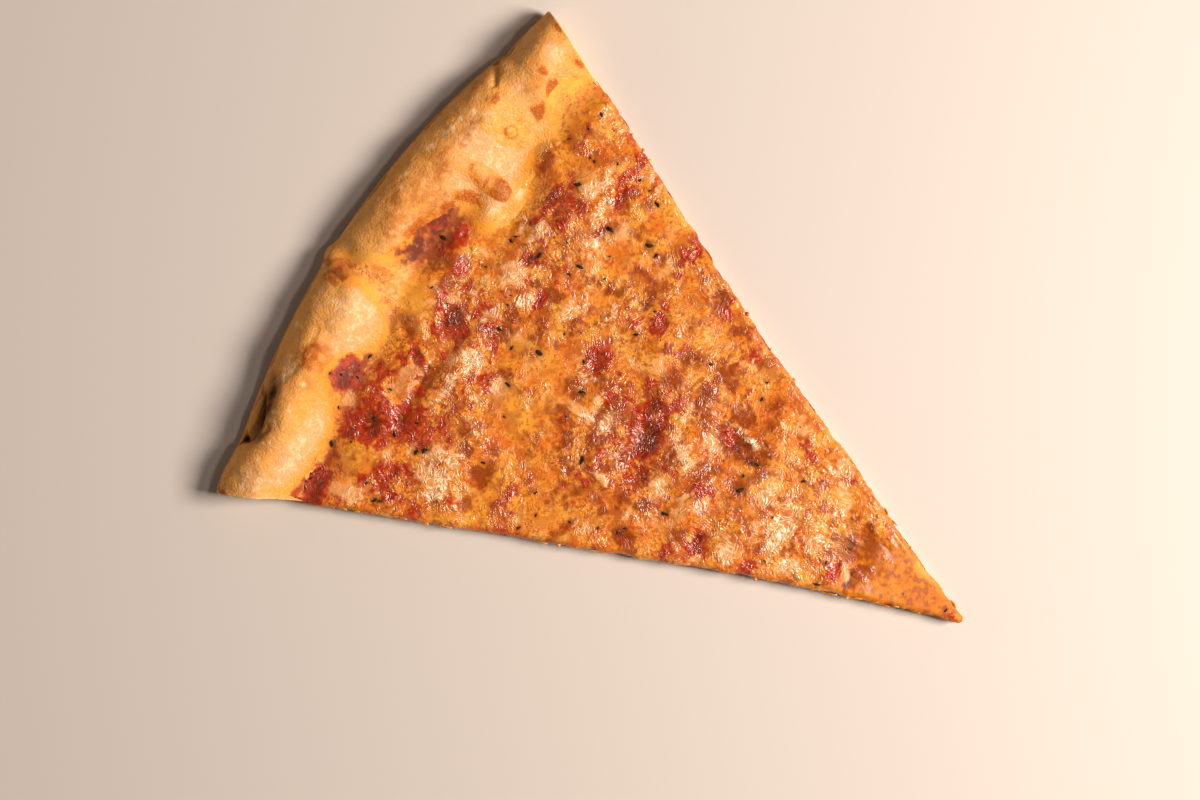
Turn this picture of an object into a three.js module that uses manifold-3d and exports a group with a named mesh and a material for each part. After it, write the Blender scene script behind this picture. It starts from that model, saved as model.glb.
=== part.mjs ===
// A slice of thin, wide cheese pizza, one eighth of a pie about 475 mm across.
// Three layers lie on each other: the dough with its puffed rim, a thin coat of tomato sauce, and
// the melted cheese, which carries flakes of dried herbs. Lengths are in millimetres, angles in
// degrees. The shapes are worked out with the tip at 0,0 and the rim towards +Y, and the finished
// slice is moved so that its origin is the middle of its underside.
import * as THREE from "three";
import { mergeVertices } from "three/addons/utils/BufferGeometryUtils.js";
import Module from "manifold-3d";

const wasm = await Module();
wasm.setup();

// Driving dimensions.

const slice = {
  radius: 235.6, // tip to outer edge, a little right of the middle
  leftCut: 22.6, // angle between the middle line and the left cut, at the rim
  rightCut: 23.0,
  leftBow: 3.1, // how much each cut closes in towards the tip
  rightBow: 1.6,
  tipHalfWidth: 1.0, // the tip is blunt
  bluntLength: 25,
};

// What the two cuts do beside that: the left corner flares, and the right cut has a shallow hollow.
const leftFlare = { by: 0.6, from: 215, to: 244 };
const rightHollow = { by: 0.7, at: 118, reach: 45 };

// How the outer edge departs from a circle. Angles count from the middle line, left is negative.
const outerEdge = {
  leftSwell: 0.0055, // mm per degree squared, from swellFrom towards the left corner
  swellFrom: 10,
  leftFlare: { by: 3, from: 18, to: 22.5 },
  rightSwell: 0.075, // the same towards the right corner
  rightSwellFrom: 17,
  pinch: { by: 1.5, at: -2.6, reach: 0.8 },
  crease: { by: -0.9, at: 18.3, reach: 0.7 },
};

const dough = {
  thickness: 3.8, // under the sauce
  tipThickness: 2.8,
  tipLength: 60, // where the thinning towards the tip starts
  wave: 0.35, // unevenness of its top
  waveLength: 46,
};

const rim = {
  width: 30, // from the outer edge to the foot of the inner slope
  height: 15.5, // top of the ridge above the underside
  ridgeAt: 11, // from the outer edge to the ridge
  nose: 5.2, // height at which the outer face starts to turn in
  underRise: 3.2, // how far the underside is lifted at the outer edge
  underDepth: 6, // how far in that lift reaches
  underLowest: -3, // past that lift the face runs down to here, below the slice
  wave: 1.1,
  waveLength: 38,
  waveShift: 20,
};

const sauce = { thickness: 1.3, pastCheese: 1.6 }; // its border lies a little outside the cheese's

const spillMouth = { x: -10, y: 240, halfWidth: 13, halfLength: 21 }; // an oval without sauce

const cheese = { thickness: 2.7, edgeThickness: 1.1, edgeDepth: 7, wave: 0.5, waveLength: 17 };

const gap = 0.3; // between layers that lie on each other

// Room around the slice for the blocks that its layers are cut from.
const room = {
  side: 105,
  bottom: -8,
  top: 250,
  borderSide: 100,
  borderBottom: -20,
  beyond: 275, // reach of the wedge between the cuts
  height: 50,
  depth: 20,
  sheetFloor: -6,
};

const grid = {
  fanAngle: 25.5, // the dough is shaped a little past the cuts
  fanTip: { length: 40, wider: 4, back: 3 }, // and past the tip
  footSpare: 2, // the close rows start this far before the rim
  rimColumns: 50, // across the whole width
  fieldRows: 9, // tip to rim
  rimRows: 13,
  sauceCell: 7,
  cheeseCell: 5.3,
  cutStep: 12,
  borderSteps: 90,
  mouthSegments: 10,
};

// Hills and hollows of the rim: middle x, y, half width across, half width along, height.
const rimForms = [
  [-64, 231, 11, 3.4, -6.5], // fold under the overhanging bulge, left
  [-66, 219, 13, 6, 2.2], // that bulge
  [-44, 223, 8, 6, 1.2], // thin skin flap
  [-22, 216, 12, 7, 2.6], // pale bulge beside the spill
  [-10, 231, 4.5, 9, -3.6], // pinched saddle that the cheese spills through
  [4, 224, 9, 7, 1.2],
  [14, 211, 14, 6, -2.4], // browned valley behind the cheese
  [36, 206, 4.2, 8, 2.4], // long blister
  [27, 200, 5, 4, 1.4], // nose of dough that runs into the cheese
  [46, 210, 7, 8, 1.6],
  [56, 224, 10, 6, 1.0],
  [67, 223, 3, 5, -2.4], // crease in the outer edge, right
  [80, 214, 7, 7, 1.4],
  [-88, 219, 6, 6, -1.2], // left corner, pressed down by the cut
];

// Lumps and dips of the cheese, in the same form.
const cheeseForms = [
  [-72, 190, 8, 7, 1.1],
  [-42, 171, 12, 9, 0.9],
  [-56, 165, 10, 7, 0.8],
  [-18, 182, 20, 4, 1.0], // long fold below the spill
  [13, 183, 10, 7, 0.8],
  [38, 168, 14, 6, 0.8],
  [53, 176, 9, 5, 0.9],
  [52, 154, 12, 8, 0.5],
  [-12, 105, 14, 8, 0.8],
  [18, 126, 8, 8, 0.8],
  [-19, 96, 9, 7, 0.7],
  [0, 75, 18, 10, 0.7],
  [-14, 62, 9, 7, 0.5],
  [10, 92, 9, 7, -0.9],
  [-7, 118, 10, 6, -1.0],
  [-30, 187, 20, 3.5, -0.9],
  [-24, 85, 8, 6, -0.8],
  [2, 42, 9, 5, -0.8],
  [7, 145, 6, 4, -0.6],
];

// Where the cheese has parted and the sauce shows: middle x, y and two half widths. The sauce
// stands higher there and the cheese sinks.
const saucePatches = [
  [-41, 210, 6, 3.2],
  [-76, 200, 7, 3.4],
  [-51, 197, 7, 6],
  [-63, 181, 5, 2],
  [-24, 194.5, 3.4, 3.6],
  [-8, 192, 6.4, 4.6],
  [23, 181, 5, 2.4],
  [40, 184, 8, 3],
  [14, 172, 5, 2.2],
  [55, 167.5, 4.5, 2.4],
  [6, 145, 3.6, 2.4],
  [29, 135, 3.4, 3],
  [-7, 117, 7, 4.5],
];
const patch = { rise: 2.1, riseFrom: 0.3, riseTo: 0.75, sink: 1.6, sinkFrom: 0.25, sinkTo: 0.8 };

// Bubbles with a raised ring: middle x, y, radius.
const ringBubbles = [
  [39.5, 181, 4.5],
  [-5, 127, 4.2],
  [-6, 57, 4.4],
  [49, 177, 2.6],
];
const ring = { height: 0.9, at: 0.9, width: 0.45 }; // place and width of the ring in radii

// Border of the cheese against the rim, from the left cut to the right cut. The tongue in the
// middle is cheese that ran out through the saddle.
const cheeseBorder = [
  [-100, 212],
  [-84, 206.5],
  [-75, 205],
  [-63, 205],
  [-54, 209],
  [-47, 216.5],
  [-39, 216],
  [-30, 209],
  [-23, 208.5],
  [-17, 213],
  [-15.5, 222],
  [-17.5, 231],
  [-12.5, 235.5],
  [-7, 232],
  [-3.5, 222],
  [0, 219.5],
  [10, 217],
  [20, 212.5],
  [28, 205],
  [23.5, 201],
  [29, 196.5],
  [39, 196],
  [50, 200],
  [60, 198],
  [66, 203.5],
  [75, 203.5],
  [84, 197],
  [100, 190],
];

// Herb flakes: the largest have their own places, and a seeded draw spreads the others.
const largeFlakes = [
  [44.5, 164.5, 2.2],
  [28.5, 166.5, 2.4],
  [-1, 162, 2.6],
  [-15.5, 165.5, 2.2],
  [-23, 131.5, 2.2],
  [-22.5, 99.8, 2.2],
  [-3.5, 83.5, 2.4],
  [25, 93.5, 2.2],
  [51, 180.7, 2.2],
  [48, 151.8, 2],
  [59.5, 156, 2],
  [25.5, 189.2, 2],
  [-48.5, 176.5, 2],
  [20.5, 139.5, 2],
  [-15.5, 46, 1.8],
  [0, 6.4, 1.4],
];
const smallFlakes = {
  count: 40,
  least: 0.9,
  most: 1.6,
  apart: 8,
  fromCuts: 4,
  widestAngle: 21,
  innermost: 20, // distances from the tip
  outermost: 196,
  seed: 11,
};
const flakeShape = { width: 0.62, height: 0.42, sunk: 0.15 }; // shares of its half length

// Small helpers.

const degree = Math.PI / 180;

function smoothstep(from, to, value) {
  const t = Math.min(1, Math.max(0, (value - from) / (to - from)));
  return t * t * (3 - 2 * t);
}

function hill(x, y, [cx, cy, rx, ry]) {
  return Math.exp(-(((x - cx) / rx) ** 2) - ((y - cy) / ry) ** 2);
}

function sumOfForms(forms, x, y) {
  return forms.reduce((sum, form) => sum + form[4] * hill(x, y, form), 0);
}

// Smooth unevenness between -1 and 1, with hills about one wavelength apart.
function unevenness(x, y, wavelength) {
  const u = (2 * Math.PI * x) / wavelength;
  const v = (2 * Math.PI * y) / wavelength;
  const first = Math.sin(u + 1.3 * Math.sin(0.7 * v + 0.4)) * Math.cos(0.8 * v + 0.9 * Math.sin(0.6 * u));
  const second = Math.sin(1.9 * u - 1.1 * v + 2) * Math.sin(1.7 * v + 0.6 * u);
  return 0.6 * first + 0.4 * second;
}

function seededDraws(seed) {
  let state = seed;
  return () => {
    state = (state * 1664525 + 1013904223) % 4294967296;
    return state / 4294967296;
  };
}

// The slice seen from above.

// A bulge or hollow of one line: its full size at one place, fading over its reach.
function swell({ by, at, reach }, value) {
  return by * Math.exp(-(((value - at) / reach) ** 2));
}

// Angle of a cut at a distance from the tip.
function cutAngle(radius, side) {
  const toTip = (1 - radius / slice.radius) ** 2;
  if (side > 0) {
    return slice.rightCut - slice.rightBow * toTip - swell(rightHollow, radius);
  }
  const flare = leftFlare.by * smoothstep(leftFlare.from, leftFlare.to, radius);
  return slice.leftCut - slice.leftBow * toTip + flare;
}

// Distance from the tip to the outer edge in a direction given in degrees.
function outerRadius(angle) {
  const left = Math.max(0, outerEdge.swellFrom - angle);
  const right = Math.max(0, angle - outerEdge.rightSwellFrom);
  const { by, from, to } = outerEdge.leftFlare;
  return (
    slice.radius +
    outerEdge.leftSwell * left ** 2 +
    outerEdge.rightSwell * right ** 2 +
    by * smoothstep(from, to, -angle) +
    swell(outerEdge.pinch, angle) +
    swell(outerEdge.crease, angle)
  );
}

function cutPoint(radius, side) {
  const angle = side * cutAngle(radius, side) * degree;
  const blunt = side * slice.tipHalfWidth * (1 - smoothstep(0, slice.bluntLength, radius));
  return new THREE.Vector2(radius * Math.sin(angle) + blunt, radius * Math.cos(angle));
}

// Heights.

function distanceFromEdge(x, y) {
  return outerRadius(Math.atan2(x, y) / degree) - Math.hypot(x, y);
}

function doughTop(x, y) {
  const inward = Math.max(0, distanceFromEdge(x, y));
  const full = smoothstep(0, dough.tipLength, y);
  const field =
    dough.tipThickness +
    (dough.thickness - dough.tipThickness) * full +
    dough.wave * unevenness(x, y, dough.waveLength);
  const ridge = rim.height + rim.wave * unevenness(x + rim.waveShift, y, rim.waveLength);
  const forms = sumOfForms(rimForms, x, y);
  if (inward < rim.ridgeAt) {
    const turn = Math.sqrt(1 - (1 - inward / rim.ridgeAt) ** 2);
    return rim.nose + (ridge - rim.nose + forms) * turn;
  }
  const down = Math.min(1, (inward - rim.ridgeAt) / (rim.width - rim.ridgeAt));
  const slope = 0.5 + 0.5 * Math.cos(Math.PI * down);
  return field + (ridge - field) * slope + forms;
}

// 1 in the middle of a sauce patch, 0 outside the patches.
function patchShare(x, y) {
  return saucePatches.reduce((most, place) => Math.max(most, hill(x, y, place)), 0);
}

function sauceTop(x, y) {
  const risen = patch.rise * smoothstep(patch.riseFrom, patch.riseTo, patchShare(x, y));
  return doughTop(x, y) + sauce.thickness + risen;
}

function ringRelief(x, y) {
  return ringBubbles.reduce((sum, [cx, cy, radius]) => {
    const away = Math.hypot(x - cx, y - cy) / radius;
    return sum + ring.height * Math.exp(-(((away - ring.at) / ring.width) ** 2));
  }, 0);
}

const borderCurve = new THREE.SplineCurve(cheeseBorder.map(([x, y]) => new THREE.Vector2(x, y)));
const borderPoints = borderCurve.getPoints(grid.borderSteps);

function distanceToBorder(x, y) {
  return Math.min(...borderPoints.map((point) => Math.hypot(x - point.x, y - point.y)));
}

function cheeseTop(x, y) {
  const inner = smoothstep(0, cheese.edgeDepth, distanceToBorder(x, y));
  const wave = cheese.wave * unevenness(x, y, cheese.waveLength);
  const full = cheese.thickness + wave + sumOfForms(cheeseForms, x, y);
  const thick = cheese.edgeThickness + (full - cheese.edgeThickness) * inner;
  const sunk = patch.sink * smoothstep(patch.sinkFrom, patch.sinkTo, patchShare(x, y));
  return doughTop(x, y) + sauce.thickness + thick - sunk + ringRelief(x, y);
}

// Solids.

function solidFrom(geometry) {
  const bare = geometry.clone();
  bare.deleteAttribute("normal");
  bare.deleteAttribute("uv");
  const merged = mergeVertices(bare, 1e-4);
  return new wasm.Manifold(
    new wasm.Mesh({
      numProp: 3,
      vertProperties: new Float32Array(merged.attributes.position.array),
      triVerts: new Uint32Array(merged.index.array),
    }),
  );
}

function geometryFrom(solid) {
  const mesh = solid.getMesh();
  const geometry = new THREE.BufferGeometry();
  geometry.setAttribute("position", new THREE.BufferAttribute(new Float32Array(mesh.vertProperties), 3));
  geometry.setIndex(new THREE.BufferAttribute(new Uint32Array(mesh.triVerts), 1));
  return geometry;
}

// A slab over a grid of cells: place turns the two grid shares, 0 to 1, into x and y, and top and
// bottom give its two faces.
function slab(columns, rows, place, top, bottom) {
  const box = new THREE.BoxGeometry(1, 1, 1, columns, rows, 1);
  const position = box.attributes.position;
  for (let i = 0; i < position.count; i += 1) {
    const [x, y] = place(position.getX(i) + 0.5, position.getY(i) + 0.5);
    const face = position.getZ(i) > 0 ? top : bottom;
    position.setXYZ(i, x, y, face(x, y));
  }
  return solidFrom(box);
}

function prism(points, bottom, top) {
  const shape = new THREE.Shape(points);
  const extruded = new THREE.ExtrudeGeometry(shape, { depth: top - bottom, bevelEnabled: false });
  return solidFrom(extruded.translate(0, 0, bottom));
}

// Everything between the two cuts and above the underside.
function wedgeBetweenCuts() {
  const steps = Math.round(room.beyond / grid.cutStep);
  const radii = Array.from({ length: steps + 1 }, (_, i) => (i * room.beyond) / steps);
  const right = radii.map((radius) => cutPoint(radius, 1));
  const left = radii.map((radius) => cutPoint(radius, -1)).reverse();
  return prism([...right, ...left], 0, room.height);
}

// The part of the plan on the tip's side of the cheese border, moved out towards the rim.
function insideBorder(outwards) {
  const border = borderPoints.map((point) => {
    const length = point.length();
    return point.clone().multiplyScalar((length + outwards) / length);
  });
  const right = new THREE.Vector2(room.borderSide, room.borderBottom);
  const left = new THREE.Vector2(-room.borderSide, room.borderBottom);
  return prism([right, ...border.reverse(), left], -room.depth, room.height);
}

// The sauce stops short of the spill, where the cheese runs over bare dough.
function sauceArea() {
  const mouth = new THREE.Shape();
  mouth.absellipse(spillMouth.x, spillMouth.y, spillMouth.halfWidth, spillMouth.halfLength, 0, 2 * Math.PI);
  const depth = 2 * (room.height + room.depth);
  const options = { depth, bevelEnabled: false, curveSegments: grid.mouthSegments };
  const spill = new THREE.ExtrudeGeometry(mouth, options).translate(0, 0, -depth / 2);
  return insideBorder(sauce.pastCheese).subtract(solidFrom(spill));
}

// The dough's own grid: a fan a little wider than the slice, with its rows close together in the
// rim and far apart under the cheese.
function fanPlace(u, v) {
  const across = 2 * u - 1;
  const angle = across * grid.fanAngle;
  const fieldShare = grid.fieldRows / (grid.fieldRows + grid.rimRows);
  const edge = outerRadius(angle);
  const foot = edge - rim.width - grid.footSpare;
  const radius =
    v < fieldShare ? (foot * v) / fieldShare : foot + ((edge - foot) * (v - fieldShare)) / (1 - fieldShare);
  const { length, wider, back } = grid.fanTip;
  const nearTip = 1 - smoothstep(0, length, radius);
  return [
    radius * Math.sin(angle * degree) + wider * across * nearTip,
    radius * Math.cos(angle * degree) - back * nearTip,
  ];
}

// Squares of a given size over the whole plan.
function squares(size) {
  const width = 2 * room.side;
  const length = room.top - room.bottom;
  const place = (u, v) => [width * u - room.side, length * v + room.bottom];
  return [Math.round(width / size), Math.round(length / size), place];
}

function doughSolid(underside) {
  return slab(grid.rimColumns, grid.fieldRows + grid.rimRows, fanPlace, doughTop, underside);
}

// Flat, but lifted along the outer edge.
function liftedUnderside(x, y) {
  const inward = distanceFromEdge(x, y) / rim.underDepth;
  return inward < 1 ? rim.underRise * (1 - inward) ** 2 : Math.max(rim.underLowest, 1 - inward);
}

const farBelow = () => room.sheetFloor;

// One flake: a thin stone shape, half sunk in the cheese.
function flake(x, y, halfLength, turn) {
  const shape = new THREE.IcosahedronGeometry(halfLength, 0);
  shape.scale(1, flakeShape.width, flakeShape.height);
  shape.rotateZ(turn);
  shape.translate(x, y, cheeseTop(x, y) + flakeShape.sunk * halfLength);
  return solidFrom(shape);
}

// The large flakes, then drawn ones that keep clear of each other, of the cuts and of the border.
function flakePlaces() {
  const draw = seededDraws(smallFlakes.seed);
  const places = largeFlakes.map(([x, y, size]) => ({ x, y, size, turn: draw() * Math.PI }));
  while (places.length < largeFlakes.length + smallFlakes.count) {
    const radius = slice.radius * Math.sqrt(draw());
    const angle = (2 * draw() - 1) * smallFlakes.widestAngle;
    const size = smallFlakes.least + (smallFlakes.most - smallFlakes.least) * draw();
    const turn = draw() * Math.PI;
    const x = radius * Math.sin(angle * degree);
    const y = radius * Math.cos(angle * degree);
    const clear = places.every((other) => Math.hypot(other.x - x, other.y - y) > smallFlakes.apart);
    const fromCut = radius * (cutAngle(radius, Math.sign(angle)) - Math.abs(angle)) * degree;
    const between = radius < smallFlakes.outermost && radius > smallFlakes.innermost;
    if (clear && fromCut > smallFlakes.fromCuts && between) {
      places.push({ x, y, size, turn });
    }
  }
  return places;
}

function largestBody(solid) {
  const bodies = solid.decompose();
  return bodies.reduce((most, body) => (body.volume() > most.volume() ? body : most));
}

// The three layers.

const wedge = wedgeBetweenCuts();
const doughBlock = doughSolid(farBelow).translate([0, 0, gap]);
const sauceSlab = slab(...squares(grid.sauceCell), sauceTop, farBelow).intersect(sauceArea());
const cheeseSlab = slab(...squares(grid.cheeseCell), cheeseTop, farBelow).intersect(insideBorder(0));

function makeCrust() {
  return largestBody(doughSolid(liftedUnderside).intersect(wedge));
}

function makeSauce() {
  return largestBody(sauceSlab.intersect(wedge).subtract(doughBlock));
}

function makeCheese() {
  const withFlakes = flakePlaces().reduce(
    (whole, { x, y, size, turn }) => whole.add(flake(x, y, size, turn)),
    cheeseSlab.intersect(wedge),
  );
  return largestBody(withFlakes.subtract(doughBlock).subtract(sauceSlab.translate([0, 0, gap])));
}

function layer(name, solid, color, roughness) {
  const material = new THREE.MeshStandardMaterial({ color, roughness, metalness: 0 });
  const mesh = new THREE.Mesh(geometryFrom(solid), material);
  mesh.name = name;
  return mesh;
}

// The origin goes to the middle of the underside's bounding box.
function centred(group) {
  const box = new THREE.Box3().setFromObject(group);
  const middle = box.getCenter(new THREE.Vector3());
  group.position.set(-middle.x, -middle.y, -box.min.z);
  return group;
}

const pizzaSlice = new THREE.Group();
pizzaSlice.add(layer("crust", makeCrust(), 0xe2b36c, 0.8));
pizzaSlice.add(layer("sauce", makeSauce(), 0x8c2a16, 0.45));
pizzaSlice.add(layer("cheese", makeCheese(), 0xe0953a, 0.4));

export default new THREE.Group().add(centred(pizzaSlice));
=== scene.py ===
import itertools
import math
import random

import bmesh
import bpy
import numpy as np
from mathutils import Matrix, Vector


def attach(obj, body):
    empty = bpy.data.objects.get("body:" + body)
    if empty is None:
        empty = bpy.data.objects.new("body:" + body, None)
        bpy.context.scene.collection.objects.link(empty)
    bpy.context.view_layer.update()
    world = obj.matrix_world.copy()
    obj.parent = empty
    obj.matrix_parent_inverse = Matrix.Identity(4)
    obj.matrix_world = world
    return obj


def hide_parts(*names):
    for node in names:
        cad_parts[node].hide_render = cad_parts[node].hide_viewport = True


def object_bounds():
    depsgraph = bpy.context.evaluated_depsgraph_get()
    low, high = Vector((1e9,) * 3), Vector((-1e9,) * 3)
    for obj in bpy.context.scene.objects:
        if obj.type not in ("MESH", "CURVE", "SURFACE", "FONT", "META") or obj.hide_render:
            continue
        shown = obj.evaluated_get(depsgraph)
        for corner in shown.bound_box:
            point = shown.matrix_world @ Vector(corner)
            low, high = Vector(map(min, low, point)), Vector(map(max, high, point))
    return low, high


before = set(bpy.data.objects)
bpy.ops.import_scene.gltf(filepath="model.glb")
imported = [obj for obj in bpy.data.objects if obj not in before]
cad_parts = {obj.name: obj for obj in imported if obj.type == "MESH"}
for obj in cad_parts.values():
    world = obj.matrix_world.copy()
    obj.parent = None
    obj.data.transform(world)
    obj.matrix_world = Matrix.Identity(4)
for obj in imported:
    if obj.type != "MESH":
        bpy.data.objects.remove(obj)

cadLow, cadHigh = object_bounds()
print("frame loaded,", len(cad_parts), "nodes")

mm = 0.001
degree = math.pi / 180

# the slice seen from above: the tip is at 0, 0 and the rim towards +Y, in mm and degrees
plan = {
    "radius": 235.6,
    "reach": 246,                    # past the farthest corner
    "leftCut": 22.6,
    "rightCut": 23.0,
    "leftBow": 3.1,                  # how much each cut closes in towards the tip
    "rightBow": 1.6,
    "tipHalfWidth": 0.6,
    "bluntLength": 25,
    "leftFlare": (0.6, 215, 244),    # how much, and from and to which radius
    "rightHollow": (0.7, 118, 45),   # height, place and reach, as swell takes them
    "leftSwell": (0.0055, 10),
    "rightSwell": (0.075, 17),
    "edgeFlare": (3, 18, 22.5),
    "pinch": (1.5, -2.6, 0.8),
    "crease": (-0.9, 18.3, 0.7),
}


def smoothStep(start, end, value):
    share = np.clip((value - start) / (end - start), 0, 1)
    return share * share * (3 - 2 * share)


def swell(form, value):
    height, place, reach = form
    return height * np.exp(-(((value - place) / reach) ** 2))


def cutAngle(radius, side):
    toTip = (1 - radius / plan["radius"]) ** 2
    right = plan["rightCut"] - plan["rightBow"] * toTip - swell(plan["rightHollow"], radius)
    height, start, end = plan["leftFlare"]
    left = plan["leftCut"] - plan["leftBow"] * toTip + height * smoothStep(start, end, radius)
    return np.where(side > 0, right, left)


def outerRadius(angle):
    leftRise, leftFrom = plan["leftSwell"]
    rightRise, rightFrom = plan["rightSwell"]
    height, start, end = plan["edgeFlare"]
    left = leftRise * np.maximum(0, leftFrom - angle) ** 2
    right = rightRise * np.maximum(0, angle - rightFrom) ** 2
    ends = left + right + height * smoothStep(start, end, -angle)
    return plan["radius"] + ends + swell(plan["pinch"], angle) + swell(plan["crease"], angle)


# across runs from -1 on the left cut to 1 on the right cut
def fanPoint(across, radius):
    angle = across * cutAngle(radius, across) * degree
    blunt = across * plan["tipHalfWidth"] * (1 - smoothStep(0, plan["bluntLength"], radius))
    return radius * np.sin(angle) + blunt, radius * np.cos(angle)


def distanceFromEdge(x, y):
    return outerRadius(np.arctan2(x, y) / degree) - np.hypot(x, y)


def findMiddle():
    radii = np.arange(plan["reach"] + 1.0)
    leftX = fanPoint(-1.0, radii)[0][radii <= outerRadius(-plan["leftCut"])].min()
    rightX = fanPoint(1.0, radii)[0][radii <= outerRadius(plan["rightCut"])].max()
    return (leftX + rightX) / 2, (cadHigh.y - cadLow.y) / mm / 2


middleX, middleY = findMiddle()

# random directions for the noise
spread = np.random.RandomState(7).normal(size=(256, 3))
slopes = spread / np.linalg.norm(spread, axis=1)[:, None]


# smooth noise between about -1 and 1, with hills about one size apart
def grain(points, size, seed=0):
    spots = points / size + seed * 13.7
    cell = np.floor(spots).astype(np.int64)
    inside = spots - cell
    ease = inside**3 * (inside * (inside * 6 - 15) + 10)
    total = np.zeros(len(points))
    for corner in itertools.product((0, 1), repeat=3):
        x, y, z = (cell + corner).T
        jumbled = (x * 73856093) ^ (y * 19349663) ^ (z * 83492791)
        jumbled = ((jumbled ^ (jumbled >> 13)) * 1274126177) & 0xFFFFFFFF
        slope = slopes[(jumbled >> 16) & 255]
        weight = np.prod(np.where(corner, ease, 1 - ease), axis=1)
        total += weight * ((inside - corner) * slope).sum(axis=1)
    return total * 1.7


def flatGrain(x, y, size, seed):
    return grain(np.stack([x, y, np.zeros(len(x))], axis=1), size, seed)


# sharp crests between smooth hollows
def crests(x, y, size, seed):
    return 1 - 2 * np.abs(flatGrain(x, y, size, seed))


# places shifted by noise, so that forms and edges wander
def warped(x, y, amount, size):
    return x + amount * flatGrain(x, y, size, 21), y + amount * flatGrain(x, y, size, 22)


# a form or place is: middle x, y, half sizes across and along, height or strength
def awayFrom(x, y, form):
    return np.hypot((x - form[0]) / form[2], (y - form[1]) / form[3])


def hill(x, y, form):
    return np.exp(-(((x - form[0]) / form[2]) ** 2) - ((y - form[1]) / form[3]) ** 2)


def sumOfForms(forms, x, y):
    return sum(form[4] * hill(x, y, form) for form in forms)


def mostOf(forms, x, y):
    return np.max([form[4] * hill(x, y, form) for form in forms], axis=0)


# a ragged edge round each place, so that none looks like an ellipse
def spotted(forms, x, y, low, high, ragged=0.2):
    wx, wy = warped(x, y, 1.5, 4.5)
    rough = ragged * flatGrain(x, y, 2.3, 61) + 0.5 * ragged * flatGrain(x, y, 1.05, 62)
    return smoothStep(low, high, mostOf(forms, wx, wy) + rough)


# round spots with a fairly clear edge: middle x, y, radius
def dotted(spots, x, y, share=1.0, power=4):
    away = np.min([np.hypot(x - cx, y - cy) / (size * share) for cx, cy, size in spots], axis=0)
    return np.exp(-(away**power))


# Catmull-Rom curve through the given points
def smoothLine(points, steps=5):
    ends = [points[0], *points, points[-1]]
    line = []
    for corners in zip(ends, ends[1:], ends[2:], ends[3:]):
        for step in range(steps):
            t = step / steps
            line.append([
                q + 0.5 * t * (r - p + (2 * p - 5 * q + 4 * r - s) * t + (3 * q - p - 3 * r + s) * t * t)
                for p, q, r, s in zip(*corners)
            ])
    return np.array([*line, points[-1]], float)


# how far x, y is from each stretch of a line, as dx, dy, with the ends of the stretch
def fromStretches(line, x, y):
    for (ax, ay), (bx, by) in zip(line, line[1:]):
        length = (bx - ax) ** 2 + (by - ay) ** 2
        share = np.clip(((x - ax) * (bx - ax) + (y - ay) * (by - ay)) / length, 0, 1)
        yield x - ax - share * (bx - ax), y - ay - share * (by - ay), (ax, ay), (bx, by)


# the crust, in mm
dough = {
    "thickness": 3.8,
    "tipThickness": 2.8,
    "tipLength": 60,
    "wave": (0.35, 46),              # height and length
    "rimWidth": 30,
    "rimHeight": 15.5,
    "rimWave": (1.1, 38),
    "ridgeAt": 11,
    "nose": 5.2,
    "noseBulge": 0.6,
    "underRise": 3.2,
    "underDepth": 6,
    "underDents": (0.22, 7),
    "foot": (1.8, 31, 8),            # fullness where the inner slope meets the flat dough
    "fold": (-66, 231.6, 14, 7.6, 5.4),    # under the bulge at the left
    "columns": 330,
    "rows": (12, 56, 30),            # of the flat part, the slope and the outer face
    "wallCuts": 14,
    "skin": ((0.55, 13), (0.28, 5), (0.11, 1.9)),    # height and size of bulges, dents and pimples
    "pores": (1.2, 2.3),             # depth and size
    "blister": (36.2, 205.5, 3.6, 8),
    "colours": {
        "dough": (222, 154, 82),
        "pale": (226, 164, 110),
        "golden": (240, 148, 48),
        "tan": (226, 158, 74),
        "ochre": (214, 138, 56),
        "tanned": (172, 92, 24),
        "brown": (150, 62, 8),
        "lightBrown": (196, 100, 20),
        "stain": (236, 146, 34),
        "spill": (240, 168, 60),
        "spillDark": (216, 128, 34),
        "toasted": (214, 122, 24),
        "flour": (250, 218, 168),
        # painted shade for the creases and the wedge along the fold
        "crevice": (104, 62, 28),
        "crumb": (240, 212, 158),
        "underside": (212, 166, 108),
        "scorch": (112, 62, 30),
    },
}

rimForms = [
    (-66, 219, 13, 6, 2.2), (-44, 223, 8, 6, 1.2), (-22, 216, 12, 7, 2.6), (-10, 231, 4.5, 9, -3.6),
    (4, 224, 9, 7, 1.2), (14, 211, 14, 6, -2.4), (36, 206, 4.2, 8, 2.4), (27, 200, 5, 4, 1.4),
    (46, 210, 7, 8, 1.6), (56, 224, 10, 6, 1), (67, 223, 3, 5, -2.4), (80, 214, 7, 7, 1.4),
    (-88, 219, 6, 6, -1.2),
]

# border of the cheese against the rim, left to right, with the tongue that ran out
cheeseBorder = [
    (-100, 212), (-84, 206.5), (-75, 205), (-63, 205), (-54, 209), (-47, 216.5), (-39, 216), (-30, 209),
    (-23, 208.5), (-17, 213), (-15.5, 222), (-17.5, 231), (-12.5, 235.5), (-7, 232), (-3.5, 222),
    (0, 219.5), (10, 217), (20, 212.5), (28, 205), (23.5, 201), (29, 196.5), (39, 196), (50, 200),
    (60, 198), (66, 203.5), (75, 203.5), (84, 197), (100, 190),
]

# small blisters in the skin: middle x, y, radius, height
rimBlisters = [
    (-62, 218, 5.5, 0.9), (-42, 222, 4.5, 0.5), (53.5, 208.5, 2.2, 0.9), (58.5, 218, 2, 0.5),
    (75, 211, 3, 0.5), (37, 201, 2.5, 0.5), (28, 211, 3.5, 0.6), (-30, 222, 2.5, 0.5),
    (16, 226, 2.5, 0.5), (-80, 216, 3, 0.4), (84, 221, 2.5, 0.5), (45, 226, 2, 0.4),
]

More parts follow.
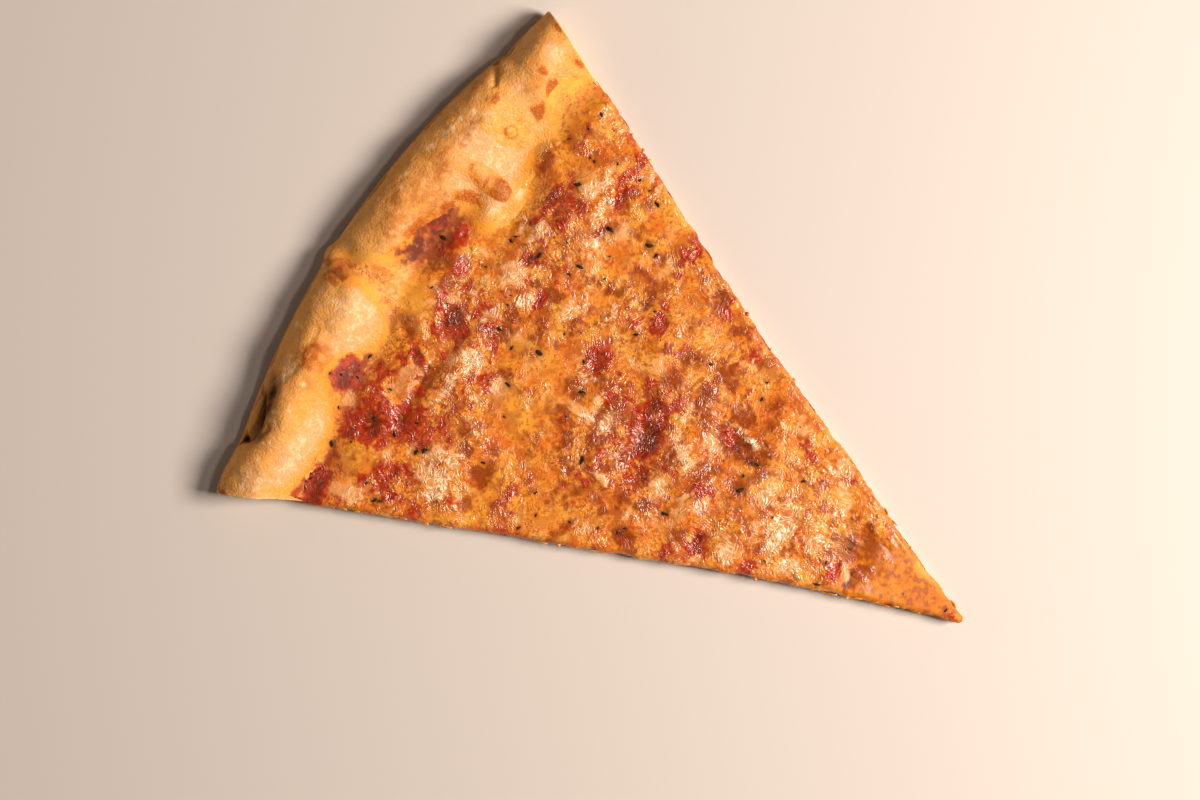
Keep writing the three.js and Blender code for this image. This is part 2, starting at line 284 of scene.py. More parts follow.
# folds in the rim: points along the fold, half width, depth
rimCreases = [
    ([(-76.5, 227.6), (-75, 225.6), (-70, 225), (-66, 226.6), (-61, 229.8)], 0.8, 2.4),
    ([(-76.4, 226.4), (-73.6, 222.9), (-69, 221.6)], 0.7, 1.3),
    ([(70.5, 224.5), (67, 222.2), (63.5, 220.6)], 0.7, 1.1),
    ([(-52, 225.6), (-48, 224.2), (-44, 224.4)], 0.8, 0.5),
    ([(-46, 226.6), (-40, 224.6), (-34, 225.6)], 0.7, 0.5),
]


def unevenness(x, y, length):
    u = 2 * math.pi * x / length
    v = 2 * math.pi * y / length
    first = np.sin(u + 1.3 * np.sin(0.7 * v + 0.4)) * np.cos(0.8 * v + 0.9 * np.sin(0.6 * u))
    second = np.sin(1.9 * u - 1.1 * v + 2) * np.sin(1.7 * v + 0.6 * u)
    return 0.6 * first + 0.4 * second


def doughTop(x, y):
    inward = np.maximum(0, distanceFromEdge(x, y))
    full = smoothStep(0, dough["tipLength"], y)
    field = dough["tipThickness"] + (dough["thickness"] - dough["tipThickness"]) * full
    height, length = dough["wave"]
    field = field + height * unevenness(x, y, length)
    height, length = dough["rimWave"]
    ridge = dough["rimHeight"] + height * unevenness(x + 20, y, length)
    fold = dough["fold"]
    forms = sumOfForms(rimForms, x, y) - fold[4] * smoothStep(1.1, 0.85, awayFrom(x, y, fold))
    near = np.minimum(inward / dough["ridgeAt"], 1)
    outer = dough["nose"] + (ridge - dough["nose"] + forms) * np.sqrt(1 - (1 - near) ** 2)
    down = np.clip((inward - dough["ridgeAt"]) / (dough["rimWidth"] - dough["ridgeAt"]), 0, 1)
    slope = field + (ridge - field) * (0.5 + 0.5 * np.cos(math.pi * down))
    return np.where(inward < dough["ridgeAt"], outer, slope + forms + swell(dough["foot"], inward))


def underRise(inward):
    return dough["underRise"] * np.maximum(0, 1 - inward / dough["underDepth"]) ** 2


borderLine = smoothLine(cheeseBorder)


# distance inside the cheese's border, negative outside it
def insideBorder(x, y):
    nearest = np.full(len(x), np.inf)
    crossings = np.zeros(len(x), int)
    for dx, dy, (ax, ay), (bx, by) in fromStretches(borderLine, x, y):
        nearest = np.minimum(nearest, np.hypot(dx, dy))
        within = (x >= min(ax, bx)) & (x < max(ax, bx))
        lineY = ay + (x - ax) * (by - ay) / (bx - ax + 1e-9)
        crossings += within & (lineY > y)
    return np.where(crossings % 2 == 1, nearest, -nearest)


# how deep the folds cut in, steep on their inner side and gentle on their outer side
def creaseDepth(x, y):
    depth = np.zeros(len(x))
    for points, width, most in rimCreases:
        for dx, dy, start, end in fromStretches(smoothLine(points), x, y):
            away = np.hypot(dx, dy) / np.where(dy > 0, 2.2 * width, width)
            depth = np.maximum(depth, most * np.exp(-(away**2)))
    return depth


def toFrame(x, y, z):
    return np.stack([(x - middleX) * mm, (y - middleY) * mm, z * mm], axis=1)


def readVertices(mesh, field):
    values = np.empty(len(mesh.vertices) * 3)
    mesh.vertices.foreach_get(field, values)
    return values.reshape(-1, 3)


def moveVertices(mesh, places):
    mesh.vertices.foreach_set("co", places.astype(np.float32).ravel())
    mesh.update()


def paint(mesh, **marks):
    for name, values in marks.items():
        layer = mesh.attributes.new(name, "FLOAT", "POINT")
        layer.data.foreach_set("value", np.clip(values, 0, 1).astype(np.float32))


def finishPiece(bm, name):
    mesh = bpy.data.meshes.new(name)
    bm.to_mesh(mesh)
    bm.free()
    piece = bpy.data.objects.new(name, mesh)
    bpy.context.scene.collection.objects.link(piece)
    return piece


# the crust starts as a grid over the whole fan, doubled downwards, with its walls subdivided
def makeCrustMesh():
    bm = bmesh.new()
    bmesh.ops.create_grid(bm, x_segments=dough["columns"], y_segments=sum(dough["rows"]), size=0.5)
    extruded = bmesh.ops.extrude_face_region(bm, geom=bm.faces[:])
    lower = [part for part in extruded["geom"] if isinstance(part, bmesh.types.BMVert)]
    bmesh.ops.translate(bm, verts=lower, vec=(0, 0, -1))
    upright = [edge for edge in bm.edges if abs(edge.verts[0].co.z - edge.verts[1].co.z) > 0.5]
    bmesh.ops.subdivide_edges(bm, edges=upright, cuts=dough["wallCuts"], use_grid_fill=True)
    bmesh.ops.recalc_face_normals(bm, faces=bm.faces[:])
    return finishPiece(bm, "crust_baked")


def rowRadius(share, edge):
    field, slope, face = dough["rows"]
    row = share * (field + slope + face)
    foot = edge - dough["rimWidth"] - 8
    ridge = edge - dough["ridgeAt"]
    turn = np.clip((row - field - slope) / face, 0, 1) * math.pi / 2
    onSlope = foot + (ridge - foot) * (row - field) / slope
    onFace = edge - dough["ridgeAt"] * (1 - np.sin(turn))
    return np.where(row < field, foot * row / field, np.where(row < field + slope, onSlope, onFace))


def shapeCrust(mesh):
    across, share, level = (readVertices(mesh, "co") * (2, 1, 1) + (0, 0.5, 1)).T
    widest = np.where(across > 0, plan["rightCut"], plan["leftCut"] + plan["leftFlare"][0])
    edge = outerRadius(across * widest)
    radius = rowRadius(share, edge)
    x, y = fanPoint(across, radius)
    inward = np.maximum(0, edge - radius)
    under = underRise(inward)
    z = under + (doughTop(x, y) - under) * level
    side = np.where(np.abs(across) > 0.9999, np.sign(across), 0)
    onNose = (share > 0.9999) * np.sin(math.pi * level) * dough["noseBulge"]
    angle = across * cutAngle(radius, across) * degree
    places = np.stack([x + onNose * np.sin(angle), y + onNose * np.cos(angle), z], axis=1)

    # pores open the crumb where the knife cut it, and dents uneven the underside
    wall = np.abs(side) * np.clip(6 * level * (1 - level), 0, 1)
    deep, size = dough["pores"]
    pores = smoothStep(0.1, 0.55, grain(places, size))
    pores = pores + 0.6 * smoothStep(0.1, 0.5, grain(places, size / 2.2, 3))
    depth = wall * (deep * pores + 0.25 * grain(places, 6, 9) + 0.1)
    places[:, 0] -= side * np.cos(angle) * depth
    places[:, 1] += np.abs(side) * np.sin(np.abs(angle)) * depth
    deep, size = dough["underDents"]
    bottom = (level < 0.001) * (inward > dough["underDepth"]) * (np.abs(across) < 0.98)
    places[:, 2] += bottom * deep * (0.5 + 0.5 * grain(places, size, 4))
    moveVertices(mesh, toFrame(*places.T))

    # the baked skin of the rim stands up along its own normals
    x, y = places[:, 0], places[:, 1]
    top = level > 0.999
    skin = top * smoothStep(0.5, -4, insideBorder(x, y))
    skin = skin * smoothStep(dough["rimWidth"] + 6, dough["rimWidth"] - 4, inward)
    raised = sum(height * grain(places, size, seed) for seed, (height, size) in enumerate(dough["skin"]))
    for cx, cy, radius, height in rimBlisters:
        raised = raised + height * np.exp(-(np.hypot(x - cx, y - cy) / radius) ** 4)
    raised = skin * raised - top * creaseDepth(x, y)
    moveVertices(mesh, readVertices(mesh, "co") + readVertices(mesh, "normal") * raised[:, None] * mm)
    return places, inward, level, side


# places of the rim's colours
goldenPlaces = [
    (-30, 221, 8, 4, 0.7), (-60, 222, 16, 5, 1), (-57, 218, 11, 5, 1.6), (-35, 224, 10, 6, 0.6),
    (-44, 218, 8, 5, 0.8), (-78, 217, 8, 4, 0.4), (8, 226, 14, 4, 0.5), (35, 222.5, 8, 3.5, 0.7),
    (58, 220, 10, 4, 0.4), (73, 210, 6, 6, 0.5), (18, 220, 8, 3, 0.6), (-20, 226, 6, 4, 0.4),
]
# where the outer part is baked to a deeper colour
tannedPlaces = [
    (20, 215.5, 8, 4, 1), (21, 221, 8, 4, 0.9), (30, 221, 8, 4, 0.9), (40, 220.5, 7, 3, 0.7),
    (21, 225, 7, 4, 0.9), (30, 225, 8, 3, 0.8), (60, 226, 5, 2.5, 0.8), (-41, 220.5, 7, 4, 1),
    (-50, 219.5, 5, 3, 0.7), (70, 210, 5, 4, 0.7), (14, 225, 13, 6, 1.2), (45, 220.5, 9, 3.4, 0.9),
    (12, 218, 8, 4, 0.9), (-40, 220, 6, 5, 0.8), (33, 222, 9, 4, 0.6), (20, 210, 7, 5, 0.9),
]
brownPlaces = [
    (20, 211.2, 5, 2.6, 0.95), (11, 216, 6, 2.4, 0.9), (20, 206, 3, 2.4, 0.5), (-42, 222.5, 4, 4, 0.6),
    (-39, 222, 1, 3, 0.55), (-43, 220.2, 3, 0.6, 0.55), (-14.5, 231, 5.5, 5.5, 0.7),
    (-94.5, 222.5, 1.6, 2, 0.9), (28.3, 208.6, 2.3, 4.4, 0.95), (58.5, 218, 1.8, 1.5, 0.85),
    (75.3, 210.4, 1.5, 2.8, 0.95), (89, 213, 1.4, 2.4, 0.8), (64, 205, 2.6, 2, 0.95),
    (72.3, 204.8, 3.2, 1.9, 1.1), (83.8, 201.8, 1.3, 2, 1), (35, 222.5, 5, 2.2, 0.35),
    (7, 225, 4, 2, 0.25), (17, 221, 3, 2, 0.35), (3, 216, 4.5, 3, 0.75), (9, 213, 5, 2.4, 0.7),
    # the first place on the next line lies along the fold: partly toasted crust, partly painted shade
    (-62, 226, 6.5, 2.4, 0.5), (80, 199.5, 1.4, 1.4, 0.6), (-19, 229, 2, 3, 0.3),
    (23, 211.6, 5, 0.8, 0.6), (0, 218, 3, 2.5, 0.5), (-8, 219, 2, 1.5, 0.5),
]
stainPlaces = [
    (62, 220, 4, 3, 0.5), (89, 206, 3, 10, 0.5), (-86, 210, 2, 8, 0.6), (-91, 218, 1.6, 6, 0.6),
    (18, 219, 8, 2.5, 0.4), (28, 207, 4, 5, 0.5), (55, 201, 7, 3, 0.4),
]
# where cheese and oil spilled on to the rim, with a clear edge
spillPlaces = [
    (54, 209, 6.5, 7, 1), (50.5, 215, 2.4, 5, 0.9), (58.5, 217.5, 3.6, 5, 0.95), (58, 212, 4, 6, 0.9),
    (75, 203, 10, 4.2, 1), (84, 204, 3, 4, 0.9), (28, 210, 3, 5, 0.7),
]
# pale dough; the place at -51, 226.6 is a painted highlight on the bright edge beside the fold
palePlaces = [
    (52, 200.5, 6, 2.5, 0.8), (80, 206, 4, 3, 0.9), (-88, 217.5, 8, 4.5, 0.6), (-51, 226.6, 7, 2.6, 0.75),
    (80, 219, 6, 4, 0.5), (-52, 212.5, 7, 3, 0.7), (-34, 215, 7, 5, 1), (-72, 210, 22, 4, 0.9),
    (-24, 218, 13, 7, 0.9), (44, 210, 6, 12, 0.95), (27, 200, 6, 5, 0.9), (31, 213, 3, 4, 0.6),
    (8, 219, 6, 2, 0.7), (68, 202, 6, 2.5, 0.5), (67, 214, 4, 4, 0.4), (82, 210, 4, 4, 0.7),
    (54, 216, 1.6, 3, 0.8), (45, 218, 10, 3, 0.6),
]
flourSpecks = [
    (35.5, 227, 0.9), (41.5, 226, 0.8), (44, 224.5, 0.9), (48, 224, 0.8), (52, 221.5, 1.1),
    (-66, 221, 0.7), (-60.5, 219, 0.6), (-51, 220, 0.9), (-72.5, 219, 0.6), (-50, 228, 0.6),
    (24, 229, 0.5), (12, 232, 0.6), (34, 227.5, 0.6), (-36, 232.5, 0.9), (-87, 214, 0.6), (-79, 219, 0.6),
    (-63.5, 223, 0.6), (19, 228, 0.6),
]
# the shaded wedge along the fold at the left
foldShade = [
    (-71, 223.8, 5, 1.6, 0.8), (-65, 225.4, 5, 2.2, 1), (-59, 227.4, 4.4, 2.2, 1),
    (-55.5, 229.4, 2.4, 1.4, 0.6),
]
blisterWindow = [(37.8, 209.5, 1.3, 3, 1), (35, 212, 0.8, 1, 0.5)]
blisterBrown = [
    (33.8, 200.6, 2, 3.4, 1.6), (38, 200.4, 2.4, 3.8, 1.7), (35.4, 206.4, 2.4, 0.6, 1),
    (34.4, 209.5, 0.8, 3, 0.6), (37, 212.8, 2, 0.8, 0.6),
]
blisterRing = (53.5, 208.5, 1.9, 1.9)


def paintCrust(mesh, places, inward, level, side):
    x, y = places[:, 0], places[:, 1]
    ragged = flatGrain(x, y, 6, 71) + 0.5 * flatGrain(x, y, 2.4, 72)
    outer = 1 - smoothStep(5, 17, inward + 3.5 * ragged)
    baked = spotted(goldenPlaces, x, y, 0.15, 0.85, 0.3)
    pale = spotted(palePlaces, x, y, 0.1, 0.6, 0.2) * (1 - 0.5 * baked)
    stain = spotted(stainPlaces, x, y, 0.1, 0.7, 0.25)
    stain = stain + smoothStep(-3.4, 0.6, insideBorder(x, y) + 1.2 * ragged)
    spill = spotted(spillPlaces, x, y, 0.34, 0.5, 0.12)
    cx, cy, halfWidth, halfLength = dough["blister"]
    oval = np.abs((x - cx - 0.08 * (y - cy)) / halfWidth) ** 2.6 + np.abs((y - cy) / halfLength) ** 2.6
    filled = smoothStep(1.1, 0.96, oval**0.385 + 0.04 * ragged)
    window = mostOf(blisterWindow, x, y)
    brown = spotted(brownPlaces, x, y, 0.15, 0.7, 0.2)
    ring = 0.6 * swell((1, 1, 0.25), awayFrom(x, y, blisterRing))
    wedge = mostOf(foldShade, x + 0.6 * ragged, y + 0.4 * ragged)
    onTop = level > 0.5
    low = smoothStep(4.5, 1.5, places[:, 2]) * (level < 0.999)
    cut = np.abs(side) > 0.5
    paint(
        mesh,
        golden=np.maximum(outer, baked) * (1 - 0.8 * pale) * onTop,
        pale=pale * onTop,
        tanned=spotted(tannedPlaces, x, y, 0.1, 0.9, 0.3) * onTop,
        stain=stain * onTop * (1 - 0.6 * outer),
        spill=np.maximum(spill, filled * (1 - 0.8 * window)) * onTop,
        toasted=filled * (1 - window) * onTop,
        brown=np.max([brown, filled * mostOf(blisterBrown, x, y), ring], axis=0) * onTop,
        # painted shade: darker along the creases and in the wedge along the fold
        crevice=np.maximum(smoothStep(0.5, 2.6, creaseDepth(x, y)), wedge) * (level > 0.999),
        flour=dotted(flourSpecks, x, y) * onTop,
        cut=cut * 1.0,
        under=low * (1 - 0.6 * cut),
    )


crust = makeCrustMesh()
paintCrust(crust.data, *shapeCrust(crust.data))
crust.data.shade_smooth()
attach(crust, "root")
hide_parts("crust")
print("crust", len(crust.data.polygons), "faces")

# sauce and cheese are sheets that lie on the dough, with flat hidden undersides inside it
sheet = {
    "floor": 1.4,
    "radius": 226,
    "tongue": (11, -3.2, 2.2),       # how much farther the sheets reach at the tongue
    "leastHalfWidth": 1.2,
    "inset": 3.0,                    # of the hidden underside
    "hiddenRadii": (4, 222),
}


# a triangle subdivided evenly, with walls let down from its edge
def makeSheetMesh(name, rows, wallSteps):
    bm = bmesh.new()
    corners = [bm.verts.new(place) for place in ((0, 0, 0), (1, 1, 0), (-1, 1, 0))]
    bm.faces.new(corners)
    bmesh.ops.subdivide_edges(bm, edges=bm.edges[:], cuts=rows - 1, use_grid_fill=True)
    rimEdges = [edge for edge in bm.edges if edge.is_boundary]
    for step in range(wallSteps + 2):
        extruded = bmesh.ops.extrude_edge_only(bm, edges=rimEdges)["geom"]
        rimEdges = [part for part in extruded if isinstance(part, bmesh.types.BMEdge) and part.is_boundary]
        lowered = [part for part in extruded if isinstance(part, bmesh.types.BMVert)]
        bmesh.ops.translate(bm, verts=lowered, vec=(0, 0, -1))
    base = bmesh.ops.edgeloop_fill(bm, edges=rimEdges)["faces"]
    bmesh.ops.triangulate(bm, faces=base)
    bmesh.ops.recalc_face_normals(bm, faces=bm.faces[:])
    return finishPiece(bm, name)


# the lowest that a sheet goes, to stay hidden in the dough
def hiddenLevel(x, y):
    return sheet["floor"] + underRise(np.maximum(0, distanceFromEdge(x, y)))


# places every vertex of a sheet, with a ragged edge along the cuts; a vertex is some steps down the wall
def layOut(piece, wallSteps, wobble, sideDepth):
    flatX, share, drop = readVertices(piece.data, "co").T
    sideways = flatX / np.maximum(share, 1e-6)
    across = np.clip(sideways, -1, 1)
    reach = sheet["radius"] + swell(sheet["tongue"], across * cutAngle(sheet["radius"], across))
    radius = share * reach
    x, y = fanPoint(across, radius)
    halfWidth = np.maximum(sheet["leastHalfWidth"], radius * np.sin(cutAngle(radius, across) * degree))
    step = np.round(-drop)
    hidden = step > wallSteps
    edge = np.sign(across) * np.abs(across) ** 6
    along = np.stack([np.sign(across) * 40, y, np.zeros(len(x))], axis=1)
    depth = sideDepth(x, y, insideBorder(x, y))
    amount, size = wobble
    waves = grain(along, size, 31) + 0.6 * grain(along, size / 2.7, 32) + 0.35 * grain(along, size / 6, 33)
    out = (amount * waves - 0.1) * np.clip(radius / 12, 0, 1) - 3 * smoothStep(0.4, -1.2, depth)
    across = across + edge * np.maximum(out / halfWidth, -0.7)
    across = across * (1 - np.minimum(np.where(hidden, sheet["inset"], 0) / halfWidth, 0.6))
    radius = np.where(hidden, np.clip(radius, *sheet["hiddenRadii"]), radius)
    x, y = fanPoint(across, radius)
    toCut = np.maximum(0, (1 - np.abs(sideways)) * halfWidth)
    return x, y, step, toCut, across, radius


# bulges a wall outwards
def pushOut(x, y, across, radius, amount):
    angle = np.abs(across) * cutAngle(radius, across) * degree
    return x + np.sign(across) * np.cos(angle) * amount, y - np.sin(angle) * amount * (np.abs(across) > 0.5)


def layerEdge(depth, roundness):
    return np.sqrt(1 - (1 - np.clip(depth / roundness, 0, 1)) ** 2)


sauceValues = {
    "rows": 190,
    "wallSteps": 3,
    "wobble": (0.35, 7),             # of the cut edge: height and length
    "thickness": 1.3,
    "edgeThickness": 0.05,
    "edgeRoundness": 0.8,
    "taper": 10,
    "pastCheese": 1.0,
    "rise": 0.75,                    # where the cheese has parted
    "grains": (0.35, 3.0),           # height and size
    "seeds": (0.16, 1.5),
    "mouth": (-10, 240, 13, 21),     # the sauce stops short of the spill, which ran over bare dough
    "edgeDrop": (0.35, 1.2),         # how far the top falls, and how near the cut
    "bulge": 0.3,
    "colours": {
        "red": (150, 30, 10),
        "dark": (98, 14, 6),
        "orange": (190, 66, 16),
        "thread": (226, 130, 90),
    },
}

# where the cheese has parted and the sauce shows
saucePatches = [
    (-41, 210, 6, 3.2, 1), (-76, 200, 7, 3.4, 1), (-51, 197, 7, 6, 1), (-63, 181, 5, 2, 1),
    (-24, 194.5, 3.4, 3.6, 1), (-8, 192, 6.4, 4.6, 1), (23, 181, 5, 2.4, 1), (40, 184, 8, 3, 1),
    (14, 172, 5, 2.2, 1), (55, 167.5, 4.5, 2.4, 1), (6, 145, 3.6, 2.4, 1), (29, 135, 3.4, 3, 1),
    (-7, 117, 7, 4.5, 0.8), (-46, 188, 5, 3, 0.8), (-9, 44, 4, 2.6, 0.8), (-25, 86, 5, 3, 0.7),
]


def sauceInside(x, y, inside):
    mouth = sauceValues["mouth"]
    past = sauceValues["pastCheese"] * (smoothStep(0.1, 0.5, flatGrain(x, y, 16, 23)) - 2.4)
    return np.minimum(inside + past, (awayFrom(x, y, mouth) - 1) * mouth[2])


def sauceThickness(depth):
    least, full = sauceValues["edgeThickness"], sauceValues["thickness"]
    thickness = least + (full - least) * smoothStep(0, sauceValues["taper"], depth)
    return thickness * layerEdge(depth, sauceValues["edgeRoundness"])


def sauceTop(x, y, inside):
    depth = sauceInside(x, y, inside)
    loose = sauceValues["rise"] * smoothStep(0.3, 0.75, mostOf(saucePatches, *warped(x, y, 1.4, 6)))
    for seed, name in enumerate(("grains", "seeds"), 5):
        height, size = sauceValues[name]
        loose = loose + height * flatGrain(x, y, size, seed)
    loose = loose * smoothStep(3, 12, depth)
    top = doughTop(x, y) + sauceThickness(depth) + loose - 1.2 * np.maximum(0, -depth)
    return np.maximum(top, hiddenLevel(x, y))


def makeSauce():
    steps = sauceValues["wallSteps"]
    piece = makeSheetMesh("sauce_coat", sauceValues["rows"], steps)
    x, y, step, toCut, across, radius = layOut(piece, steps, sauceValues["wobble"], sauceInside)
    fall, reach = sauceValues["edgeDrop"]
    top = sauceTop(x, y, insideBorder(x, y)) - fall * smoothStep(reach, 0, toCut)
    low = doughTop(x, y) - 0.15
    down = np.clip(step / steps, 0, 1)
    z = top + (np.minimum(low, top - 0.2) - top) * down
    x, y = pushOut(x, y, across, radius, sauceValues["bulge"] * np.sin(math.pi * down) * (step > 0))
    z = np.where(step > steps, low - 0.4, z)
    z = np.where(step > steps + 1, sheet["floor"], z)
    moveVertices(piece.data, toFrame(x, y, z))
    piece.data.shade_smooth()
    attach(piece, "root")
    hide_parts("sauce")
    return piece


cheeseValues = {
    "rows": 372,
    "wallSteps": 4,
    "wobble": (0.6, 6),
    "thickness": 2.7,
    "edgeThickness": 0.03,
    "edgeRoundness": 1.6,
    "edgeDepth": 19,
    "wave": (0.5, 17),               # height and size, as the next four
    "lumps": (0.36, 9),
    "shreds": (0.16, 4.4),
    "wrinkles": (0.2, 2.4),
    "fineWrinkles": (0.12, 1.5),
    "sink": 0.45,                    # where the sauce shines through
    "open": 1.0,                     # where the sauce lies bare
    "ring": (0.55, 4.4),             # height of a ring bubble of this radius
    "edgeDrop": (0.9, 1.6),
    "drip": 1.1,
    "bulge": (0.35, 0.35),           # of the wall, and more where it drips
    "colours": {
        "orange": (238, 156, 50),
        "deep": (216, 104, 30),
        "butter": (240, 174, 86),
        "stain": (160, 62, 20),
        "vein": (150, 44, 14),
        "yellow": (240, 166, 62),
        # the colour of the cream threads painted on the wrinkle crests: partly pale strands of cheese,
        # partly painted glints
        "cream": (255, 224, 186),
        "pale": (236, 164, 98),
        "red": (128, 18, 7),
        "brightRed": (192, 50, 14),
        "toast": (142, 54, 7),
        # painted shade in the hollows of the wrinkles
        "hollow": (176, 62, 14),
        "olive": (160, 96, 20),
        "border": (242, 154, 40),
        "herbStain": (96, 62, 16),
        "dark": (90, 26, 4),
        "tip": (216, 122, 3),
        "tipDark": (162, 70, 4),
    },
}

# lumps and dips
cheeseForms = [
    (-72, 190, 8, 7, 1.1), (-42, 171, 12, 9, 0.9), (-56, 165, 10, 7, 0.8), (-18, 182, 20, 4, 1),
    (13, 183, 10, 7, 0.8), (38, 168, 14, 6, 0.8), (53, 176, 9, 5, 0.9), (52, 154, 12, 8, 0.5),
    (-12, 105, 14, 8, 0.7), (18, 126, 8, 8, 0.8), (-19, 96, 9, 7, 0.7), (0, 75, 18, 10, 0.7),
    (-14, 62, 9, 7, 0.5), (10, 92, 9, 7, -0.9), (-7, 118, 10, 6, -1), (-30, 187, 20, 3.5, -0.9),
    (-24, 85, 8, 6, -0.8), (2, 42, 9, 5, -0.8), (7, 145, 6, 4, -0.6), (-33, 192, 7, 2.5, 0.8),
    (-14, 231, 5, 5, 0.6), (33, 183, 3, 2.5, 0.7), (8, 190, 6, 2.5, 0.5), (-25, 124, 1.8, 4.5, 0.7),
    (11, 88, 1.8, 3.5, 0.7), (-5, 138, 5, 3.5, 0.6), (27, 135, 5, 4, -0.5),
]

# bubbles with a raised ring: middle x, y, radius
ringBubbles = [
    (39.5, 181, 4.5), (-5, 127, 4.2), (-6, 57, 4.4), (49, 177, 2.4), (-57, 162, 3.2), (2, 137, 1.8),
    (37, 168, 2), (-6, 105, 2.6), (33, 183, 1.8), (-24, 194.5, 3), (-10.5, 213.5, 2.6), (-17.5, 202, 4.8),
]

# where the sauce lies bare
openPlaces = [
    (-51, 197, 5, 4, 0.7), (16.5, 204, 2.4, 2.2, 0.7),
]

# how wrinkled the surface is, over a middle value
wrinkledPlaces = [
    (-48, 167, 18, 9, 1), (-20, 180, 22, 7, 1), (28, 176, 34, 9, 0.9), (0, 190, 12, 7, 0.8),
    (-3, 64, 22, 17, 1), (-12, 128, 14, 7, 0.9), (0, 108, 26, 10, 0.7), (22, 148, 14, 4, 0.7),
    (-44, 145, 10, 5, 0.9), (-62, 178, 9, 4, 0.6), (14, 161, 8, 4, 0.7), (62, 162, 8, 7, 0.6),
    (-22, 80, 8, 8, 0.8), (62, 186, 12, 8, 0.3), (36, 190, 12, 4, 0.5), (0, 134, 8, 6, 0.7),
]
smoothPlaces = [
    (-31, 186.5, 15, 3, 0.9), (-5, 224, 6, 12, 0.6), (74, 199, 10, 5, 0.6), (0, 38, 12, 6, 0.7),
    (8, 212, 14, 5, 0.4), (-50, 152, 9, 4, 1), (-60, 193, 8, 6, 0.8), (-16, 155, 12, 6, 0.7),
    (0, 18, 16, 20, 1.3), (60, 148, 7, 8, 0.8), (72, 196, 12, 6, 0.8), (35, 152, 9, 5, 0.6),
    (26, 104, 10, 9, 0.5), (-5, 168, 6, 4, 0.7), (34, 196, 14, 4, 0.7), (-7, 38, 9, 6, 0.8),
    (-40, 130, 10, 9, 0.5),
]


def ringRelief(x, y):
    height, fullRadius = cheeseValues["ring"]
    raised = np.zeros(len(x))
    for cx, cy, radius in ringBubbles:
        away = np.hypot(x - cx, y - cy) / radius
        raised += height * radius / fullRadius * (swell((1, 0.85, 0.3), away) + swell((0.5, 0, 0.25), away))
    return raised


def wrinkleShare(x, y):
    wx, wy = warped(x, y, 3, 12)
    clusters = smoothStep(0.1, 0.65, flatGrain(x, y, 8, 19) + 0.5 * flatGrain(x, y, 3.4, 20))
    placed = 0.55 * mostOf(wrinkledPlaces, wx, wy) - 0.45 * mostOf(smoothPlaces, wx, wy)
    return np.clip(0.22 + placed + 0.5 * clusters, 0.02, 1)


def cheeseInside(x, y, inside):
    return inside + 0.8 * flatGrain(x, y, 7, 11) + 0.4 * flatGrain(x, y, 2.4, 12)


def cheeseTop(x, y, inside):
    values = cheeseValues
    depth = cheeseInside(x, y, inside)
    height, size = values["wave"]
    full = values["thickness"] + sumOfForms(cheeseForms, *warped(x, y, 2.2, 9))
    full = full + height * flatGrain(x, y, size, 17)
    least = values["edgeThickness"]
    thick = least + (full - least) * smoothStep(0, values["edgeDepth"], depth)
    wrinkle = wrinkleShare(x, y)
    sx, sy = warped(x, y, 2.5, 7)
    height, size = values["lumps"]
    relief = height * flatGrain(x, y, size, 13)
    height, size = values["shreds"]
    relief += height * (0.4 + 0.6 * wrinkle) * crests(sx, sy, size, 14)
    height, size = values["wrinkles"]
    relief += height * wrinkle * crests(sx, sy, size, 15)
    height, size = values["fineWrinkles"]
    relief += height * wrinkle * flatGrain(x, y, size, 16)
    relief = relief * smoothStep(0, 4, depth) + ringRelief(x, y)
    sunk = values["sink"] * smoothStep(0.25, 0.8, mostOf(saucePatches, *warped(x, y, 1.4, 6)))
    sunk += values["open"] * spotted(openPlaces, x, y, 0.3, 0.85)
    body = (thick + relief - sunk) * layerEdge(depth, values["edgeRoundness"])
    outside = np.maximum(0, -depth)
    base = doughTop(x, y) + sauceThickness(sauceInside(x, y, inside))
    return np.maximum(base + body - 0.1 * outside - 0.14 * outside**2, hiddenLevel(x, y)), relief


def makeCheese():
    steps = cheeseValues["wallSteps"]
    piece = makeSheetMesh("cheese_melt", cheeseValues["rows"], steps)
    x, y, step, toCut, across, radius = layOut(piece, steps, cheeseValues["wobble"], cheeseInside)
    inside = insideBorder(x, y)
    fall, reach = cheeseValues["edgeDrop"]
    top, relief = cheeseTop(x, y, inside)
    top = top - fall * smoothStep(reach, 0, toCut) ** 2
    drip = smoothStep(0.1, 0.7, flatGrain(x, y, 11, 41))
    sauceLevel = doughTop(x, y) + sauceThickness(sauceInside(x, y, inside))
    low = np.minimum(sauceLevel - 0.15 - cheeseValues["drip"] * drip, top - 0.5)
    down = np.clip(step / steps, 0, 1)
    z = top + (low - top) * down
    least, more = cheeseValues["bulge"]
    bulge = (least + more * drip) * np.sin(math.pi * down * 0.85) * (step > 0) * (step <= steps)
    x, y = pushOut(x, y, across, radius, bulge)
    z = np.where(step > steps, np.minimum(low, sauceLevel - 0.6), z)
    z = np.where(step > steps + 1, sheet["floor"], z)
    moveVertices(piece.data, toFrame(x, y, z))
    piece.data.shade_smooth()
    paintCheese(piece.data, x, y, inside, relief)
    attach(piece, "root")
    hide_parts("cheese")
    return piece


# where the colours of the cheese lie, by strength: middle x, y, half sizes across and along
def listPlaces(byStrength):
    return [(*place, strength) for strength, places in byStrength.items() for place in places]


